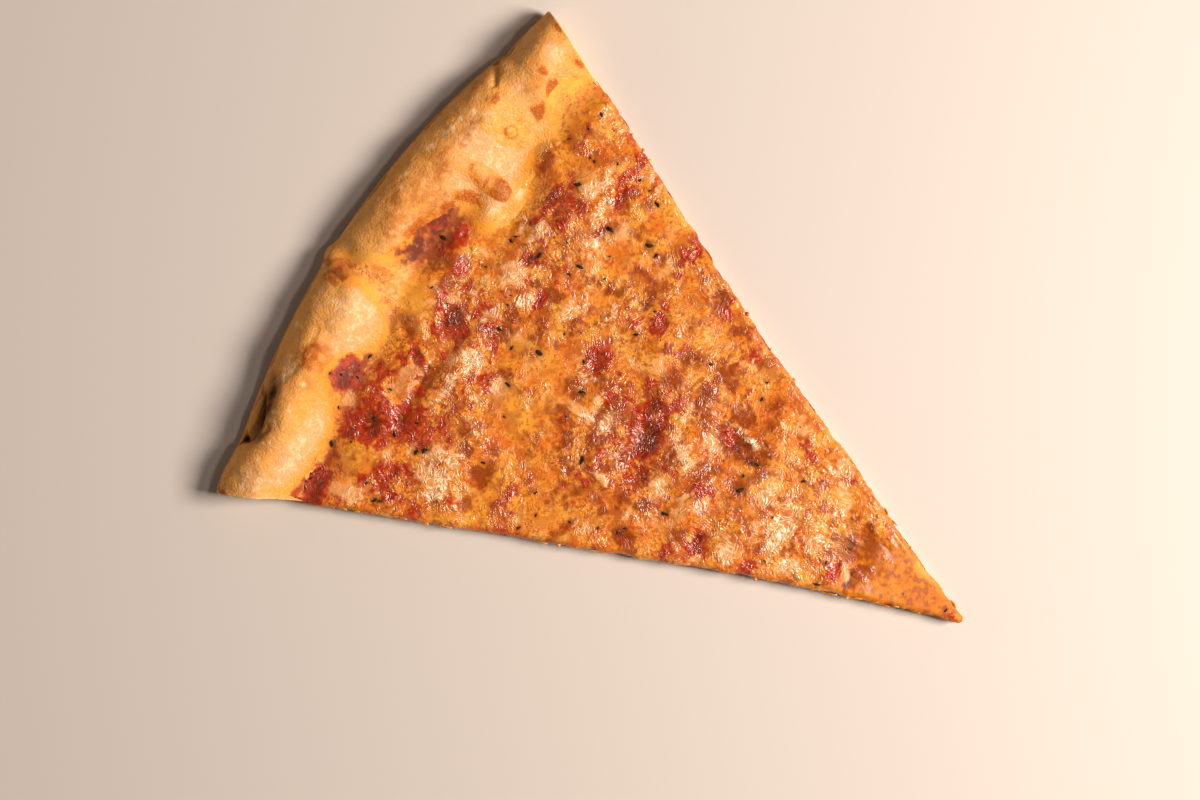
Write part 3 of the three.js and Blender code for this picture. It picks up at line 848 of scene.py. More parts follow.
redPlaces = listPlaces({
    0.3: [(-33, 155, 4, 4), (35, 155, 4, 6), (5, 166, 6, 2), (-12, 132, 6, 4)],
    0.35: [
        (-41, 170, 4, 4), (-48, 154, 3, 3), (62, 161, 4, 3), (15.5, 154, 3, 3), (15, 184, 8, 2),
        (72, 175, 3, 8), (-22, 128, 10, 3), (35, 105, 5, 5), (-20, 104, 4, 3), (-17.5, 230, 1.6, 3),
        (-50, 163, 5, 2), (3, 128, 8, 6),
    ],
    0.4: [
        (-35, 175, 5, 4), (-28, 152, 2, 3), (-28, 171, 3, 1.5), (-45, 145, 6, 3), (53, 185, 3, 2),
        (8, 201, 5, 3), (20, 186, 5, 1.5), (5, 120, 5, 5), (-20, 115, 5, 4), (43, 118, 4, 5),
        (-28, 81, 4, 3), (11, 35, 3, 4), (-33, 204, 4, 2), (-28, 198, 5, 2), (-30, 179, 8, 2),
        (-22, 176, 6, 2), (-66, 173, 3, 5), (10, 181, 3, 5), (3, 186, 3, 4), (-3, 181, 2, 5),
        (-10, 122, 9, 7), (-15, 113, 6, 2), (-6, 112, 10, 2),
    ],
    0.45: [(-57, 162, 3, 3), (45, 176, 4, 3), (38, 168, 3, 1.5), (6, 57, 2, 4), (30, 181, 6, 3)],
    0.5: [
        (7, 199, 5, 4), (9, 206, 3, 3), (-63, 186, 2, 3), (-38, 176, 4, 3), (-8, 176, 3, 3),
        (-8, 187, 6, 2), (-2, 186, 4, 3), (14, 172, 4, 2), (67, 188, 4, 2), (12, 206, 3, 3),
        (8, 126, 4, 3), (33, 136, 3, 2.5), (-33, 93, 2.5, 3), (20, 73, 3, 3), (-66, 183, 4, 3),
        (-55, 189, 4, 3), (-36, 200, 7, 2), (-40, 188, 12, 2), (36, 186, 7, 3), (50, 183, 5, 3),
        (60, 170, 7, 2), (70, 168, 4, 4), (8, 116, 5, 3),
    ],
    0.55: [
        (-41, 200.5, 5, 3), (-44, 177, 5, 2), (66, 168, 6, 3), (1, 123, 5, 5), (52, 138, 4, 4),
        (0, 134, 2, 3), (18, 56, 2, 3),
    ],
    0.6: [
        (-41, 206, 5, 3), (-6, 197, 5, 2), (-56, 177, 5, 2.4), (-66, 178, 3, 3), (4, 193, 4, 2),
        (-44, 192, 3, 3), (-66, 169, 4, 3), (-39, 183, 5, 4), (-36, 209, 3, 1.5), (40, 181.5, 5, 3.5),
        (37, 180, 3, 3), (50, 139.5, 6, 2), (8, 95, 3, 4), (18, 70, 4, 3), (0, 4, 2, 2), (-84, 204, 4, 2),
        (-46, 183, 6, 4), (-62, 184, 5, 4),
    ],
    0.65: [(-10, 94, 3, 4)],
    0.7: [
        (-10, 186, 7, 2.4), (-43, 195, 4, 3), (-60, 180.5, 4, 1.5), (-43, 183, 3, 3),
        (-18, 171.5, 3, 2.5), (22, 182, 5, 3), (13, 171, 7, 2.2), (-23, 68, 4, 4), (-47, 189, 5, 5),
    ],
    0.75: [(27, 135, 3.5, 3), (-25, 86, 5, 3.5)],
    0.8: [
        (-64, 181, 4, 2), (-66.5, 187.5, 2.5, 2), (-12, 193, 3, 3), (46, 182, 3, 3), (5, 144, 3, 1.5),
        (-53, 200, 6, 5),
    ],
    0.85: [(8, 145, 5.5, 4)],
    0.9: [(42, 185.5, 6, 2.2), (55, 167, 5, 2.6), (-9, 44, 4, 2.6)],
    0.95: [(-75, 199, 7, 4), (-51, 197, 7, 6), (-24, 194.5, 2.8, 3.2), (-5, 117, 8, 4)],
    1: [(-8, 191, 6.5, 4.5)],
    1.1: [(-40.5, 210.5, 7, 4), (16.5, 213, 2.6, 3)],
    1.2: [(17, 204, 2.4, 2.4)],
})
toastPlaces = listPlaces({
    0.25: [(-33, 200, 6, 3), (35, 150, 6, 4), (2, 153, 6, 3)],
    0.3: [(7, 165, 2, 5)],
    0.35: [
        (40, 110, 4, 6), (3, 198, 5, 7), (58, 164, 3, 2), (58, 159, 3, 3), (42, 151, 3, 2),
        (-15, 87, 5, 3), (-4, 29, 4, 3),
    ],
    0.4: [
        (56, 176, 3, 2), (-27, 134, 5, 4), (18, 100, 5, 5), (33, 125, 4, 4), (-12, 78, 6, 4),
        (20, 85, 5, 5), (-60, 177, 3, 3), (-57, 162, 3, 2), (-16, 146, 3, 4), (-29, 176, 5, 3),
        (24, 163, 4, 3), (47, 158, 2, 2), (8, 148, 4, 3), (22, 138, 3, 2), (-22, 128, 12, 4),
        (-27, 115, 4, 3), (24, 89, 4, 3), (24, 75, 3, 2), (4, 24, 2.4, 2), (-10.5, 213.5, 2, 1.8),
    ],
    0.45: [
        (-7, 30, 2, 1.2), (-18, 141, 7, 5), (22, 128, 3, 3), (4, 209, 5, 5), (-40, 165, 8, 5),
        (-7, 145, 3, 4), (-3, 26.5, 2, 1.6), (9, 206, 6, 6),
    ],
    0.5: [
        (-55, 155, 4, 3), (-5, 48, 5, 4), (-35, 169, 4, 3), (36, 150, 6, 3), (48, 156, 5, 3),
        (28, 154, 4, 3), (-35, 156, 7, 5), (12, 157, 8, 5), (24, 120, 5, 5), (-24, 84, 5, 4),
        (3, 28, 2.4, 1.2), (0, 200, 6, 4), (6, 146, 6, 4), (-27, 92, 4, 6), (-15, 233, 3.4, 3.4),
        (-17.5, 202, 3.4, 2.8), (-3, 177, 2, 3), (16, 175, 3.5, 4), (61, 193, 6, 2.5), (48, 177, 3, 2),
        (31, 142, 6, 4), (48, 151, 4, 2), (47, 130, 3, 1.5), (-34, 118, 3, 2), (-37, 108, 3, 4),
        (10, 86, 4, 4), (-15, 68, 3, 2), (11, 41, 3, 1.2), (0, 18, 12, 16), (0, 38, 12, 8),
        (1, 7, 1.6, 1.8), (4, 52, 2, 1.5), (9.5, 48, 2, 2), (18, 209, 3, 5), (23, 211, 4, 1.5),
    ],
    0.55: [
        (-14, 145, 5, 4), (-4, 147, 4, 4), (16, 108, 6, 5), (-15, 97, 5, 4), (-4, 85, 6, 4),
        (5, 33, 3, 1.6), (-4, 33, 3, 1.2), (14, 206, 6, 6), (22, 180.5, 3.5, 2.5), (45, 122, 4, 2.5),
    ],
    0.6: [
        (4, 206, 4, 5), (-5, 180, 5, 4), (-14, 168, 5, 4), (26, 107, 6, 5), (0, 175, 6, 4),
        (15, 168, 5, 4), (-12, 131, 6, 4), (15, 121, 6, 5), (-6, 108, 7, 5), (16, 96, 5, 5),
        (10, 46, 2, 1.6), (0, 48.5, 3, 1.6), (-66, 201, 10, 2), (-80, 203, 8, 1.6), (7, 123, 6, 5),
        (-24, 107, 5, 3), (-36, 108, 3, 5), (3, 216, 5, 3), (26, 180, 2, 1.5), (52, 194, 7, 3),
        (-10, 133, 4, 2), (-8, 37, 5, 2.2), (7, 41, 5, 2.5), (3, 32, 5, 3.5), (1, 31, 4, 3),
        (-7, 38, 4, 2.4), (-6, 60.5, 2.5, 0.8), (-3, 21, 1, 0.7), (12, 211, 6, 4), (-15.5, 231, 4, 6),
        (28, 210, 2.5, 3.5),
    ],
    0.65: [
        (-15, 132, 6, 4), (-15, 121, 6, 4), (-41, 204.5, 5, 3), (-5, 96, 6, 5), (8, 84, 7, 5),
        (3, 37, 2.4, 1.4), (-1, 39.5, 2, 1.2),
    ],
    0.7: [
        (-44, 156, 7, 5), (-5, 132, 8, 5), (2, 44, 3, 2), (8, 208.5, 7, 4), (-34, 207.5, 4, 1.6),
        (-17, 113, 5, 3), (-31, 187.6, 16, 2.6), (-43, 186, 4, 4), (-4, 143.5, 2, 1.5), (1, 41, 5, 2),
        (5, 214, 5, 3.5),
    ],
    0.72: [(5, 37, 5, 4)],
    0.75: [(-5, 36, 6, 4), (-3, 42, 3, 2.4), (8, 92, 6, 8), (-46, 190, 6, 4)],
    0.8: [(8, 201, 6, 5), (19, 210, 6, 3.2), (-4, 118, 11, 7)],
    0.85: [(-9, 37, 3.6, 2)],
    0.9: [(11, 215, 6, 3), (8.5, 41.5, 2, 1.5)],
})
darkPlaces = listPlaces({
    0.4: [(-18, 140, 4, 3), (7, 147, 4, 2), (-29, 176, 4, 2), (6, 145, 3.4, 2), (-40, 171, 3, 2)],
    # the strip at -31, 189.2 lies along the shaded side of the ridge: partly browned cheese, partly painted
    # shade
    0.45: [(-36, 107, 2.4, 4), (-31, 189.2, 14, 1.6)],
    0.5: [
        (-41, 206, 5, 3), (-4.5, 144.5, 2, 3), (-44, 187, 4, 3), (8, 118, 3, 3), (-10, 132, 5, 2),
        (30, 141, 4, 2.4), (55, 167, 4, 1.6), (45, 122, 3, 2), (-24, 194.5, 2, 2), (12, 86, 4, 2),
    ],
    0.55: [(11, 208, 3, 3.5)],
    0.6: [
        (-23, 106.5, 4, 2), (8, 91, 4, 5), (6, 85, 5, 3), (-75, 199, 5, 2.6), (22, 181, 3.4, 2),
        (-9, 37.5, 3.6, 1.4), (8, 41, 3, 1.4),
    ],
    0.7: [
        (-16, 112.5, 4, 2), (-50, 195.5, 4.5, 4.5), (0, 43.5, 5, 2), (43, 185, 4, 2), (-24, 86, 4, 2.4),
    ],
    0.8: [(10, 214.5, 5, 2), (4, 121, 5, 3), (-8, 191, 5, 3.4), (14, 211, 6, 1.2), (22, 211.5, 4, 0.8)],
    0.9: [(-41, 210, 6, 3)],
    1: [(-5, 117.5, 7, 4), (17, 213.5, 3, 3), (5, 214.5, 6, 2.6)],
})
# pale cream patches of cheese, where the glint threads are also painted thickest
creamPlaces = listPlaces({
    0.5: [
        (13.5, 133, 2.4, 8), (-20, 96, 8, 4), (-50, 180, 5, 2), (-36, 182, 4, 1.5), (3, 190, 3, 2),
        (17, 195, 4, 2.5), (22, 185, 5, 2), (30, 189, 5, 1.5), (35, 170, 8, 3), (37, 166, 5, 3),
        (30, 163, 5, 2), (22, 149, 5, 2), (64, 158, 3, 2), (0, 111, 3, 3), (-15, 122, 5, 2.5),
        (-30, 110, 4, 3), (-10, 72, 5, 3), (18, 117, 4, 2), (-13, 65, 5, 3), (20, 60, 5, 4),
        (-8, 200, 5, 3), (-2, 203, 3, 2),
    ],
    0.55: [(0, 145, 3, 4), (-3, 105, 5, 5)],
    0.6: [
        (-55, 185, 3, 2), (-45, 167, 4, 4), (-24, 181, 13, 2), (-25, 171, 3, 2), (0, 182, 4, 2),
        (0, 169, 4, 3), (9, 189, 3, 1.5), (30, 185, 5, 2.5), (60, 175, 3, 2), (45, 170, 6, 3),
        (45, 161, 4, 3), (67, 163, 3, 3), (-18, 106, 5, 4), (-26, 102, 4, 2), (-6, 102, 4, 2),
        (4, 99, 5, 3), (16, 127, 4, 4), (-5, 138, 4, 3), (-9, 131, 6, 2), (-20, 97, 8, 2),
        (-22, 76, 5, 5), (25, 78, 5, 2), (-15, 57, 4, 4), (15, 55, 4, 3), (-5, 55, 4, 3),
    ],
    0.65: [(52, 177, 5, 3), (55, 173.5, 5, 2.5)],
    0.7: [
        (-10, 141, 1.6, 8), (-30, 194, 5, 2), (-33, 190.5, 4, 1), (-2, 194, 3, 2.5), (10, 175, 2.5, 3),
        (15, 161, 4, 2), (43, 143, 5, 1.5), (-3, 107, 3, 2), (8, 111, 4, 3), (0, 76, 8, 3),
        (-30, 84, 3, 2), (10, 53, 5, 2), (-47, 205, 5, 2.5),
    ],
    0.8: [
        (-50, 172, 7, 3), (-55, 167, 7, 5), (-15, 179, 6, 5), (-18, 167, 4, 2.5), (33, 183, 2.5, 2),
        (-25, 124, 1.5, 4), (11, 88, 1.5, 3), (-5, 66, 8, 4),
    ],
    0.9: [(-36, 194, 3, 2.5), (15, 183, 5, 5), (34, 112.5, 3, 1)],
    1.3: [(-72.5, 190, 3.6, 5)],
})
yellowPlaces = listPlaces({
    0.3: [(30, 155, 14, 8)],
    0.35: [(70, 180, 5, 6)],
    0.4: [
        (-60, 192, 8, 5), (25, 193, 12, 2), (-4, 24, 4, 4), (40, 150, 8, 5), (-30, 185, 15, 2),
        (-52, 152, 8, 4), (22, 206, 5, 5), (30, 112, 12, 14), (-12, 156, 16, 7),
    ],
    0.5: [
        (-12, 213, 6, 7), (18, 198, 6, 4), (5, 10, 1.6, 4), (-16, 62, 4, 4), (-20, 155, 12, 6),
        (-24, 205, 5, 3), (-9, 222, 4, 8), (-39, 127, 6, 9),
    ],
    0.6: [
        (-9, 213, 7, 5), (-3, 167, 4, 5), (60, 150, 6, 8), (-21, 120, 3, 4), (-15, 50, 4, 3),
        (-4, 216, 5, 8), (-10, 211, 9, 6), (30, 197, 12, 3), (13.5, 131, 3, 10),
    ],
    0.7: [(-9, 205, 8, 5), (38, 193, 14, 2.6), (44, 195, 8, 3), (7, 18, 2, 9)],
    0.8: [(62, 197, 14, 4), (75, 197, 8, 4)],
    0.9: [(-5, 225, 4, 9)],
    1: [(70, 202, 9, 4)],
})
olivePlaces = listPlaces({
    0.3: [(-40, 155, 6, 3)],
    0.35: [(-55, 180, 3, 2), (-24, 206, 5, 2), (3, 174, 5, 3)],
    0.4: [(45, 165, 3, 3)],
    0.5: [(-8, 34, 6, 3), (-50, 179, 4, 2), (-12, 106, 4, 5)],
    0.6: [(6, 46, 5, 4), (55, 198, 5, 3), (7, 84, 3, 1.5)],
    0.8: [(-2, 45, 7, 5)],
})
borderSpread = [(-9, 208, 9, 8, 0.9), (36, 193.5, 12, 3, 0.8)]

# dried herbs: middle x, y, length
herbPlaces = [
    (-43.5, 215, 1.3), (-42, 212, 1.6), (-40, 207, 1.5), (-36.5, 209, 1), (-32, 207.5, 1.8),
    (-62.5, 202.5, 2.4), (-58.5, 197.5, 1.2), (-51.5, 207, 1.4), (-48, 195.5, 1.6), (-49, 187, 2),
    (-67, 186, 1.5), (-70.5, 181, 2), (-69.5, 179, 1.8), (-50, 178, 2.2), (-48, 176, 2.4),
    (-42, 183, 1.4), (12.5, 191.8, 1.3), (24, 189.5, 1.6), (26, 189, 1.5), (62, 191.5, 1.4),
    (68, 188, 1.2), (74, 187, 1.9), (51, 181, 2.6), (60.5, 182.5, 1.3), (63.5, 174, 1.3),
    (60, 180.5, 1.4), (25, 179, 2), (29, 166, 2.7), (25, 167.5, 1.6), (44.5, 164.5, 3), (-15.5, 165, 2.2),
    (-1.5, 162, 3), (59.5, 156, 2.6), (47, 151, 2.8), (45.5, 147.5, 1.8), (-40, 138.5, 1.5),
    (-52.5, 137, 1.6), (-46, 134.5, 1.4), (-23, 131.5, 2.8), (20.5, 139, 1.8), (30, 138, 1.2),
    (4, 148.5, 1.6), (-4.5, 143.5, 2.2), (-14, 143.5, 1.3), (-42, 124, 1.5), (-38.5, 115.5, 1.4),
    (25.5, 113.5, 1.8), (-36.5, 109.5, 1.4), (-34, 108, 1.3), (-23, 99.5, 2.6), (30.5, 95, 1.4),
    (25, 93.5, 1.6), (-3.5, 83.5, 2.8), (1, 85, 1.4), (6.5, 83.5, 1.8), (10, 68, 1.8), (-15.5, 46, 2),
    (-8, 47.5, 1.5), (0, 6.5, 1.6), (-41, 158, 1.8), (-25, 160.5, 1.2), (-5, 170.5, 1.7), (-2, 177, 2),
    (6, 179, 1.3), (33.5, 174, 1.2), (8, 158.5, 1.1), (63, 165, 1.4), (62, 160.5, 1.2), (30, 157.5, 1.3),
    (9, 180, 1.1), (-18, 171, 1), (-3, 21, 0.8), (-5, 70, 1.3), (26, 160.5, 1.1), (37, 160, 1),
    (-2.5, 202.5, 1.4), (13, 208, 2.4), (-37.5, 196, 1.4), (-4.5, 195.5, 1.2),
]


def paintCheese(mesh, x, y, inside, relief):
    def near(*place):
        return hill(x, y, place)

    mottle = flatGrain(x, y, 4.2, 63) + 0.5 * flatGrain(x, y, 1.7, 64)
    blotch = flatGrain(x, y, 6.5, 66) + 0.5 * flatGrain(x, y, 2.8, 67)
    wrinkle = wrinkleShare(x, y)
    border = smoothStep(5, 1, inside + 1.5 * flatGrain(x, y, 5, 65)) * smoothStep(190, 196, y)
    border = np.maximum(border, mostOf(borderSpread, x, y))
    field = smoothStep(38, 52, y) * (1 - near(72, 199, 14, 5)) * (1 - border) * (1 - near(-7, 216, 11, 17))
    between = smoothStep(80, 95, y) * smoothStep(155, 140, y)
    middle = 1 + 0.35 * between
    patchy = 0.85 + 0.5 * between - 0.4 * near(72, 182, 9, 16) - 0.4 * near(-15, 156, 14, 8)
    patchy = patchy + 0.9 * near(38, 158, 22, 14) + 1.0 * near(0, 177, 10, 8)
    rich = smoothStep(158, 178, y) * (0.5 + 0.5 * smoothStep(20, -30, x)) * (1 - border)
    rich = rich * (1 - 0.8 * near(-63, 193, 9, 7)) * (1 - 0.8 * near(70, 190, 14, 9))
    belt = 0.6 * smoothStep(75, 90, y) * smoothStep(155, 140, y)
    rich = np.max([rich, 0.8 * near(-2, 120, 20, 13), belt], axis=0)
    red = middle * spotted(redPlaces, x, y, 0.0, 0.9)
    red = red + 0.35 * field * smoothStep(0.3, 0.9, mottle) * (0.4 + 0.6 * wrinkle)
    red = red + 0.45 * rich * field * smoothStep(0.0, 0.8, mottle)
    toast = 0.9 * middle * spotted(toastPlaces, x, y, 0.05, 0.8)
    toast = toast + 0.45 * field * patchy * smoothStep(0.05, 0.75, blotch)
    valley = near(12, 212, 16, 6) + near(-14, 231, 6, 8) + 0.7 * near(-6, 213, 7, 12)
    onRim = smoothStep(33, 27, distanceFromEdge(x, y)) * (1 - 0.7 * near(-8, 209, 9, 8))
    wrinkled = np.clip(wrinkle + 0.35 * red, 0, 1) * (1 - 0.8 * np.clip(valley, 0, 1))
    paint(
        mesh,
        red=red,
        toast=toast,
        cream=spotted(creamPlaces, x, y, 0.1, 0.8, 0.3) * (1 - 0.6 * np.clip(red, 0, 1)),
        yellow=spotted(yellowPlaces, x, y, 0.1, 0.8),
        olive=spotted(olivePlaces, x, y, 0.15, 0.8),
        wrinkle=wrinkled,
        # the height of the relief, for painted shade in its hollows and painted light on its crests
        crest=0.5 + 0.9 * relief,
        herbStain=dotted(herbPlaces, x, y, share=0.62, power=2),
        border=np.maximum(border, 0.7 * smoothStep(46, 26, y)),
        rich=rich,
        dark=spotted(darkPlaces, x, y, 0.1, 0.9, 0.3),
        tip=smoothStep(44, 26, y),
        dull=np.maximum(onRim, 0.8 * smoothStep(32, 22, y)),
    )


sauce = makeSauce()
print("sauce", len(sauce.data.polygons), "faces")
cheese = makeCheese()
print("cheese", len(cheese.data.polygons), "faces")

# dried herbs, one small flattened lump each; sizes are shares of the length
herbValues = {
    "scale": 0.9,
    "width": 0.44,
    "height": 0.3,
    "sunk": 0.12,                    # in mm
    "extra": 26,                     # small ones spread about
    "extraRadii": (40, 190),
    "extraLengths": (0.5, 1.0),
    "tilt": 0.25,
    "bend": 0.4,
    "roughness": (-0.45, 0.4),
    "colours": {"fresh": (24, 16, 7), "worn": (62, 42, 16)},
}


def surfaceHeights(flakes):
    x, y = np.array([flake[:2] for flake in flakes], float).T
    inside = insideBorder(x, y)
    return np.where(inside > 0, cheeseTop(x, y, inside)[0], doughTop(x, y))


def makeHerbs():
    values = herbValues
    draw = random.Random(5)
    flakes = list(herbPlaces)
    for each in range(values["extra"]):
        radius, across = draw.uniform(*values["extraRadii"]), draw.uniform(-0.94, 0.94)
        x, y = fanPoint(across, radius)
        flakes.append((float(x), float(y), draw.uniform(*values["extraLengths"])))
    bm = bmesh.new()
    for (x, y, length), height in zip(flakes, surfaceHeights(flakes)):
        length = length * values["scale"]
        made = bmesh.ops.create_icosphere(bm, subdivisions=2, radius=0.5)["verts"]
        turn = draw.uniform(0, math.pi)
        tilt = draw.uniform(-values["tilt"], values["tilt"])
        lift = height + length * values["height"] * 0.5 - values["sunk"]
        bend = draw.uniform(-values["bend"], values["bend"])
        for vert in made:
            rough = 1 + draw.uniform(*values["roughness"])
            along, aside, up = (vert.co * rough * length)[:]
            aside = aside * values["width"] + bend * along * along / length
            up = up * values["height"] + tilt * along
            px = x + along * math.cos(turn) - aside * math.sin(turn)
            py = y + along * math.sin(turn) + aside * math.cos(turn)
            vert.co = ((px - middleX) * mm, (py - middleY) * mm, (lift + up) * mm)
    piece = finishPiece(bm, "herb_flakes")
    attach(piece, "root")
    return piece


# strings and crumbs of cheese that the knife left along the cuts
stringValues = {
    "chosen": [(-1, 186), (-1, 178), (-1, 173), (-1, 44), (-1, 36), (1, 6)],    # side and radius
    "count": 22,
    "radii": (12, 205),
    "sides": 7,
    "steps": 8,
    "thickness": (0.22, 0.5),
    "length": (2.5, 7),
    "fall": (1.2, 3.6),
    "crumbs": 18,
    "crumbRadii": (8, 210),
    "crumbSize": (0.25, 0.7),
}


# a place on a cut, so far out from it and so far above the dough
def cutPlace(side, radius, out, level):
    x, y = fanPoint(float(side), radius)
    angle = float(cutAngle(radius, side)) * degree
    x, y = float(x) + side * math.cos(angle) * out, float(y) - math.sin(angle) * out
    return x, y, float(doughTop(np.array([x]), np.array([y]))[0]) + level


def addStrand(bm, line, thickness):
    sides, last = stringValues["sides"], len(line) - 1
    rings = []
    for step, place in enumerate(line):
        taper = math.sin(math.pi * (0.12 + 0.76 * step / last))
        ring = bmesh.ops.create_circle(
            bm, cap_ends=step in (0, last), segments=sides, radius=thickness * taper)["verts"]
        ahead = Vector(np.subtract(line[min(step + 1, last)], line[max(step - 1, 0)]))
        turn = ahead.normalized().to_track_quat("Z", "Y")
        for vert in ring:
            vert.co = turn @ vert.co + Vector(place)
        rings.append(ring)
    for lower, upper in zip(rings, rings[1:]):
        for corner in range(sides):
            beside = (corner + 1) % sides
            bm.faces.new((lower[corner], lower[beside], upper[beside], upper[corner]))


def makeStrings():
    values = stringValues
    draw = random.Random(12)
    bm = bmesh.new()
    starts = list(values["chosen"])
    for each in range(values["count"] - len(starts)):
        starts.append((draw.choice((-1, 1)), draw.uniform(*values["radii"])))
    for side, radius in starts:
        length = draw.uniform(*values["length"])
        fall = draw.uniform(*values["fall"])
        line = []
        for share in np.linspace(0, 1, values["steps"] + 1).tolist():
            out = 0.35 + 0.25 * math.sin(3 * share + radius)
            level = 3.2 - fall * share + 0.3 * math.sin(7 * share)
            line.append(cutPlace(side, radius + length * (share - 0.5), out, level))
        addStrand(bm, line, draw.uniform(*values["thickness"]))
    for each in range(values["crumbs"]):
        side, radius = draw.choice((-1, 1)), draw.uniform(*values["crumbRadii"])
        place = Vector(cutPlace(side, radius, draw.uniform(0.1, 0.5), draw.uniform(0.2, 3.6)))
        size = draw.uniform(*values["crumbSize"])
        for vert in bmesh.ops.create_icosphere(bm, subdivisions=2, radius=size)["verts"]:
            vert.co = place + vert.co * (1 + draw.uniform(-0.25, 0.25))
    for vert in bm.verts:
        vert.co = ((vert.co.x - middleX) * mm, (vert.co.y - middleY) * mm, vert.co.z * mm)
    bmesh.ops.recalc_face_normals(bm, faces=bm.faces[:])
    piece = finishPiece(bm, "cheese_strings")
    piece.data.shade_smooth()
    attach(piece, "root")
    return piece


herbs = makeHerbs()
strings = makeStrings()
print("herbs and strings", len(herbs.data.polygons) + len(strings.data.polygons), "faces")


# a colour from 0 to 255, as a screen shows it
def colour(red, green, blue):
    shares = [value / 255 for value in (red, green, blue)]
    return (*[c / 12.92 if c < 0.04 else ((c + 0.055) / 1.055) ** 2.4 for c in shares], 1)


# adds nodes to a tree; an input is a plain value or the output of another node
class Wiring:
    def __init__(self, tree):
        self.tree = tree

    def fill(self, node, inputs):
        for key, value in inputs.items():
            if isinstance(value, bpy.types.NodeSocket):
                self.tree.links.new(value, node.inputs[key])
            else:
                node.inputs[key].default_value = value
        return node.outputs

    def add(self, kind, inputs, **settings):
        node = self.tree.nodes.new("ShaderNode" + kind)
        for name, value in settings.items():
            setattr(node, name, value)
        return self.fill(node, inputs)

    def group(self, group, inputs):
        return self.add("Group", inputs, node_tree=group)

    def place(self):
        return self.add("TexCoord", {})["Object"]

    def marks(self, *names):
        return {name: self.add("Attribute", {}, attribute_name=name)["Fac"] for name in names}

    def maths(self, operation, first, second=0.0, **settings):
        return self.add("Math", {0: first, 1: second}, operation=operation, **settings)[0]

    def times(self, first, second):
        return self.maths("MULTIPLY", first, second)

    # the scale of a noise with hills of a size in mm
    def scale(self, size):
        return self.maths("DIVIDE", 1 / mm, size)

    # how far a value is from a middle one, either way
    def off(self, value, middle):
        return self.maths("ABSOLUTE", self.maths("SUBTRACT", value, middle))

    def vectors(self, operation, first, second):
        return self.add("VectorMath", {0: first, 1: second}, operation=operation)[0]

    def ranged(self, value, low, high, outLow=0.0, outHigh=1.0, kind="SMOOTHSTEP"):
        inputs = {"Value": value, "From Min": low, "From Max": high, "To Min": outLow, "To Max": outHigh}
        return self.add("MapRange", inputs, interpolation_type=kind)["Result"]

    # a painted field cut off sharply along a ragged edge
    def cutOff(self, field, noise, low, high, ragged, strength):
        shaken = self.maths("ADD", field, self.times(noise, ragged))
        return self.ranged(shaken, low + ragged / 2, high + ragged / 2, 0.0, strength)

    def mixed(self, share, first, second):
        return self.add("Mix", {0: share, 6: first, 7: second}, data_type="RGBA")[2]

    # layers over a first colour, each with its share and its own colour
    def coated(self, shade, *coats):
        for share, tint in coats:
            shade = self.mixed(share, shade, tint)
        return shade

    def noise(self, place, scale, **inputs):
        return self.add("TexNoise", {"Vector": place, "Scale": scale, **inputs})["Fac"]

    # height is a share of so many metres
    def bump(self, relief, height, metres):
        rise = self.times(relief, self.times(height, metres))
        return self.add("Bump", {"Height": rise, "Strength": 1.0, "Distance": 1.0})["Normal"]

    def setShader(self, inputs):
        self.fill(self.tree.nodes["Principled BSDF"], inputs)


# inputs are given with their usual values, outputs with their kinds
def startGroup(name, inputs, outputs):
    tree = bpy.data.node_groups.new(name, "ShaderNodeTree")
    for label, value in inputs.items():
        kind = "NodeSocketVector" if isinstance(value, tuple) else "NodeSocketFloat"
        tree.interface.new_socket(label, in_out="INPUT", socket_type=kind).default_value = value
    for label, kind in outputs.items():
        tree.interface.new_socket(label, in_out="OUTPUT", socket_type="NodeSocket" + kind)
    given = tree.nodes.new("NodeGroupInput").outputs
    return Wiring(tree), given, tree.nodes.new("NodeGroupOutput")


# noise of a given size in mm, spread to the full range between 0 and 1
def makeMottle():
    usual = {"Size": 5.0, "Detail": 3.0, "Contrast": 1.0, "Seed": 0.0, "Stretch": (1.0, 1.0, 1.0)}
    wire, given, out = startGroup("mottle", usual, {"Value": "Float"})
    noise = wire.add("TexNoise", {
        "Vector": wire.vectors("MULTIPLY", wire.place(), given["Stretch"]), "W": given["Seed"],
        "Scale": wire.scale(given["Size"]), "Detail": given["Detail"], "Roughness": 0.6,
    }, noise_dimensions="4D")["Fac"]
    spreadOut = wire.times(wire.maths("SUBTRACT", noise, 0.5), wire.times(given["Contrast"], 2.5))
    wire.fill(out, {"Value": wire.maths("ADD", spreadOut, 0.5, use_clamp=True)})
    return wire.tree


# fine unevenness, as a normal
def makeSkin():
    usual = {"Coarse Size": 1.6, "Fine Size": 0.6, "Height": 0.2}
    wire, given, out = startGroup("skin", usual, {"Normal": "Vector"})
    place = wire.place()
    coarse = wire.noise(place, wire.scale(given["Coarse Size"]), Detail=2.0, Distortion=0.15)
    fine = wire.noise(place, wire.scale(given["Fine Size"]), Detail=1.0)
    relief = wire.maths("ADD", wire.times(coarse, 0.7), wire.times(fine, 0.3))
    wire.fill(out, {"Normal": wire.bump(relief, given["Height"], 0.004)})
    return wire.tree
